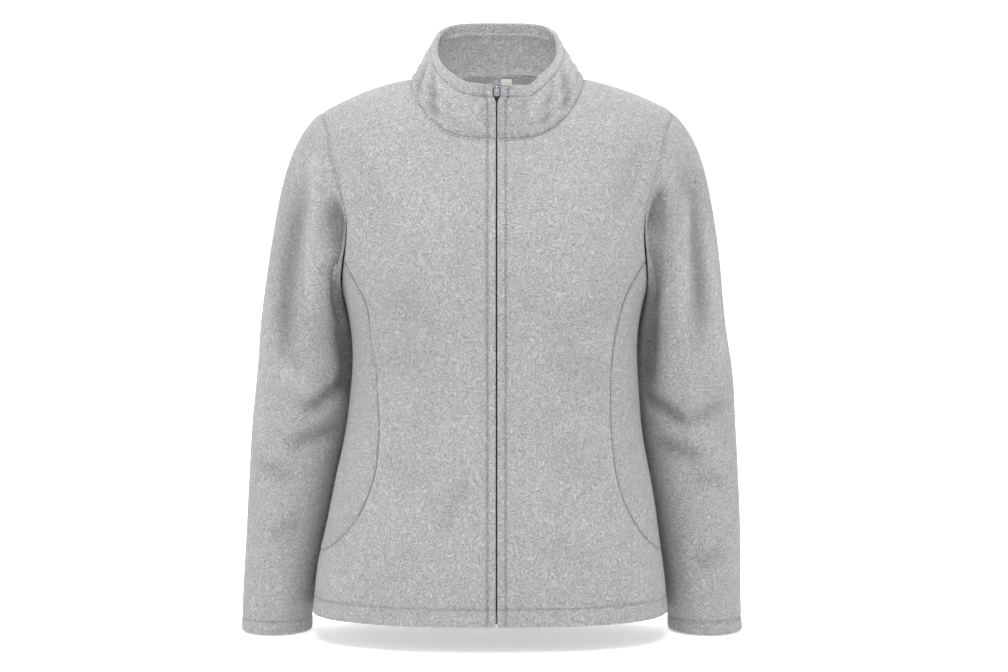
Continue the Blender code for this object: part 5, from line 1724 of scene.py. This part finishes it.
def metal_material(name):
    nodes = Nodes(name)
    marks = nodes.noise(METAL_MARKS, 3.0, 0.7)
    base = nodes.blend(nodes.span(marks, 0.35, 0.65, 0.0, 1.0), *METALS[name])
    rough = nodes.span(nodes.noise(METAL_DULL, 2.0), 0.3, 0.7, *METAL_ROUGHNESS)
    nodes.tree.links.new(rough, nodes.shader.inputs["Roughness"])
    return nodes.finish(base, marks, 0.00003, 0.4, Metallic=1.0)


def label_material():
    nodes = Nodes("woven_label")
    weave = nodes.woven(LABEL_RIBS, 0.3)
    base = nodes.blend(weave, *LABEL_COLOURS)
    return nodes.finish(base, weave, 0.0002, 0.5, Roughness=0.55, Sheen_Weight=0.15)


def paper_material():
    nodes = Nodes("studio_paper")
    grain = nodes.noise(60.0, 3.0)
    base = nodes.blend(grain, (0.90, 0.90, 0.90, 1.0), (0.93, 0.93, 0.93, 1.0))
    white = (1.0, 1.0, 1.0, 1.0)
    plain = {"Roughness": 0.9, "Specular_IOR_Level": 0.1}
    glow = {"Emission_Color": white, "Emission_Strength": PAPER_GLOW}
    return nodes.finish(base, grain, 0.0002, 0.1, **plain, **glow)


# Studio


def make_stage(shade):
    """A floor that curves up to a wall behind the jacket."""
    bm = bmesh.new()
    profile = [(STAGE_NEAR, FLOOR)]
    for a in np.linspace(0.0, math.pi / 2, STAGE_STEPS):
        profile.append((STAGE_FAR + STAGE_BEND * math.sin(a), FLOOR + STAGE_BEND * (1 - math.cos(a))))
    profile.append((STAGE_FAR + STAGE_BEND, STAGE_HIGH))
    rows = [[bm.verts.new((x, y, z)) for x in (-STAGE_HALF, STAGE_HALF)] for y, z in profile]
    for low, high in zip(rows, rows[1:]):
        bm.faces.new((low[0], low[1], high[1], high[0]))
    mesh = bpy.data.meshes.new("studio_floor")
    bm.to_mesh(mesh)
    bm.free()
    mesh.materials.append(shade)
    mesh.shade_smooth()
    floor = bpy.data.objects.new("studio_floor", mesh)
    bpy.context.scene.collection.objects.link(floor)


def add_light(name, place, target, size, power):
    light = bpy.data.lights.new(name, "AREA")
    light.shape = "RECTANGLE"
    light.size, light.size_y = size
    light.energy = power
    made = bpy.data.objects.new(name, light)
    made.location = place
    aim = mathutils.Vector(target) - mathutils.Vector(place)
    made.rotation_euler = aim.to_track_quat("-Z", "Y").to_euler()
    made.visible_camera = False
    bpy.context.scene.collection.objects.link(made)


def make_world():
    """White light from all round, which fades above the horizon."""
    world = bpy.data.worlds.new("studio")
    world.use_nodes = True
    tree = world.node_tree
    background = tree.nodes["Background"]
    background.inputs["Color"].default_value = (1.0, 1.0, 1.0, 1.0)
    direction = tree.nodes.new("ShaderNodeTexCoord")
    parts = tree.nodes.new("ShaderNodeSeparateXYZ")
    fade = tree.nodes.new("ShaderNodeMapRange")
    ends = ("From Min", "From Max", "To Min", "To Max")
    for name, value in zip(ends, (*WORLD_FADE, WORLD_LOW, WORLD_HIGH)):
        fade.inputs[name].default_value = value
    tree.links.new(direction.outputs["Generated"], parts.inputs["Vector"])
    tree.links.new(parts.outputs["Z"], fade.inputs["Value"])
    tree.links.new(fade.outputs["Result"], background.inputs["Strength"])
    bpy.context.scene.world = world


def add_camera():
    camera = bpy.data.cameras.new("camera")
    camera.sensor_width = CAMERA_SENSOR
    camera.lens = CAMERA_LENS
    camera.clip_start = CAMERA_NEAR
    made = bpy.data.objects.new("camera", camera)
    made.location = CAMERA_PLACE
    made.rotation_euler = (math.pi / 2, 0.0, 0.0)
    bpy.context.scene.collection.objects.link(made)
    bpy.context.scene.camera = made


def make_studio(paper):
    make_stage(paper)
    for light in LIGHTS:
        add_light(*light)
    make_world()
    bpy.context.scene.view_settings.view_transform = "Standard"
    add_camera()


# The jacket


def declare(piece, node, slot, flat, area, held="draped"):
    """Hides the node that a sheet of cloth replaces; the slot and the cut are not used."""
    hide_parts(node)


def main():
    fleece, thread = fleece_material(), thread_material()
    tape, teeth = tape_material(), teeth_material()
    chrome, steel, dark = (metal_material(name) for name in METALS)
    woven = label_material()
    fronts = {}
    lines = {"hem": [], "zip": [], "cuffs": [], "collar": []}
    beside_zip = (slice(2, None), ZIP_STITCH)
    for side in ("right", "left"):
        piece, outer, points, normals = make_front(side, fleece)
        declare(piece, "front_" + side, "fleece", *CUTS["front"])
        fronts[side] = (points, normals)
        lines["hem"].append((outer[HEM_STITCH, ZIP_STITCH:], normals[HEM_STITCH, ZIP_STITCH:]))
        lines["zip"].append((outer[beside_zip], normals[beside_zip]))
        declare(make_side_front(side, fleece), "side_front_" + side, "fleece", *CUTS["side_front"])
        piece, outer, normals = make_sleeve(side, fleece)
        declare(piece, "sleeve_" + side, "fleece", *CUTS["sleeve"])
        all_round = np.r_[0 : outer.shape[1], 0]
        row = -1 - CUFF_STITCH
        lines["cuffs"].append((outer[row, all_round], normals[row, all_round]))
    piece, outer, normals = make_back(fleece)
    declare(piece, "back", "fleece", *CUTS["back"])
    lines["hem"].append((outer[HEM_STITCH], normals[HEM_STITCH]))
    piece, outer, points, normals = make_collar(fleece)
    declare(piece, "collar", "fleece", *CUTS["collar"])
    row = COLLAR_SHARES.index(COLLAR_STITCH)
    inner_columns = slice(ZIP_STITCH, -ZIP_STITCH)
    lines["collar"].append((outer[row, inner_columns], normals[row, inner_columns]))
    for k in (ZIP_STITCH, -1 - ZIP_STITCH):
        lines["zip"].append((outer[2 : row + 1, k], normals[2 : row + 1, k]))
    for name, sewn in lines.items():
        make_stitches("stitches_" + name, sewn, thread)
    make_allowances(fleece)
    face = zip_face(fronts["left"], (points, normals))
    for side in ("right", "left"):
        piece = make_tape(side, face, tape)
        declare(piece, "zip_tape_" + side, "zip_tape", *CUTS["tape"], held="stretched")
    small = (
        ("zip_chain", "zip_teeth", [make_teeth(*chain_path(face), teeth)]),
        ("zip_slider", "zip_metal", make_slider(SLIDER_PLACE, chrome)),
        ("zip_pull", "zip_metal", [make_pull(PULL_PIVOT, steel)]),
        ("zip_box", "zip_metal", [make_bottom_box(dark)]),
    )
    for node, slot, made in small:
        for piece in made:
            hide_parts(node)
    declare(make_label(woven), "neck_label", "label_cloth", *CUTS["label"], held="hung")
    make_studio(paper_material())


main()
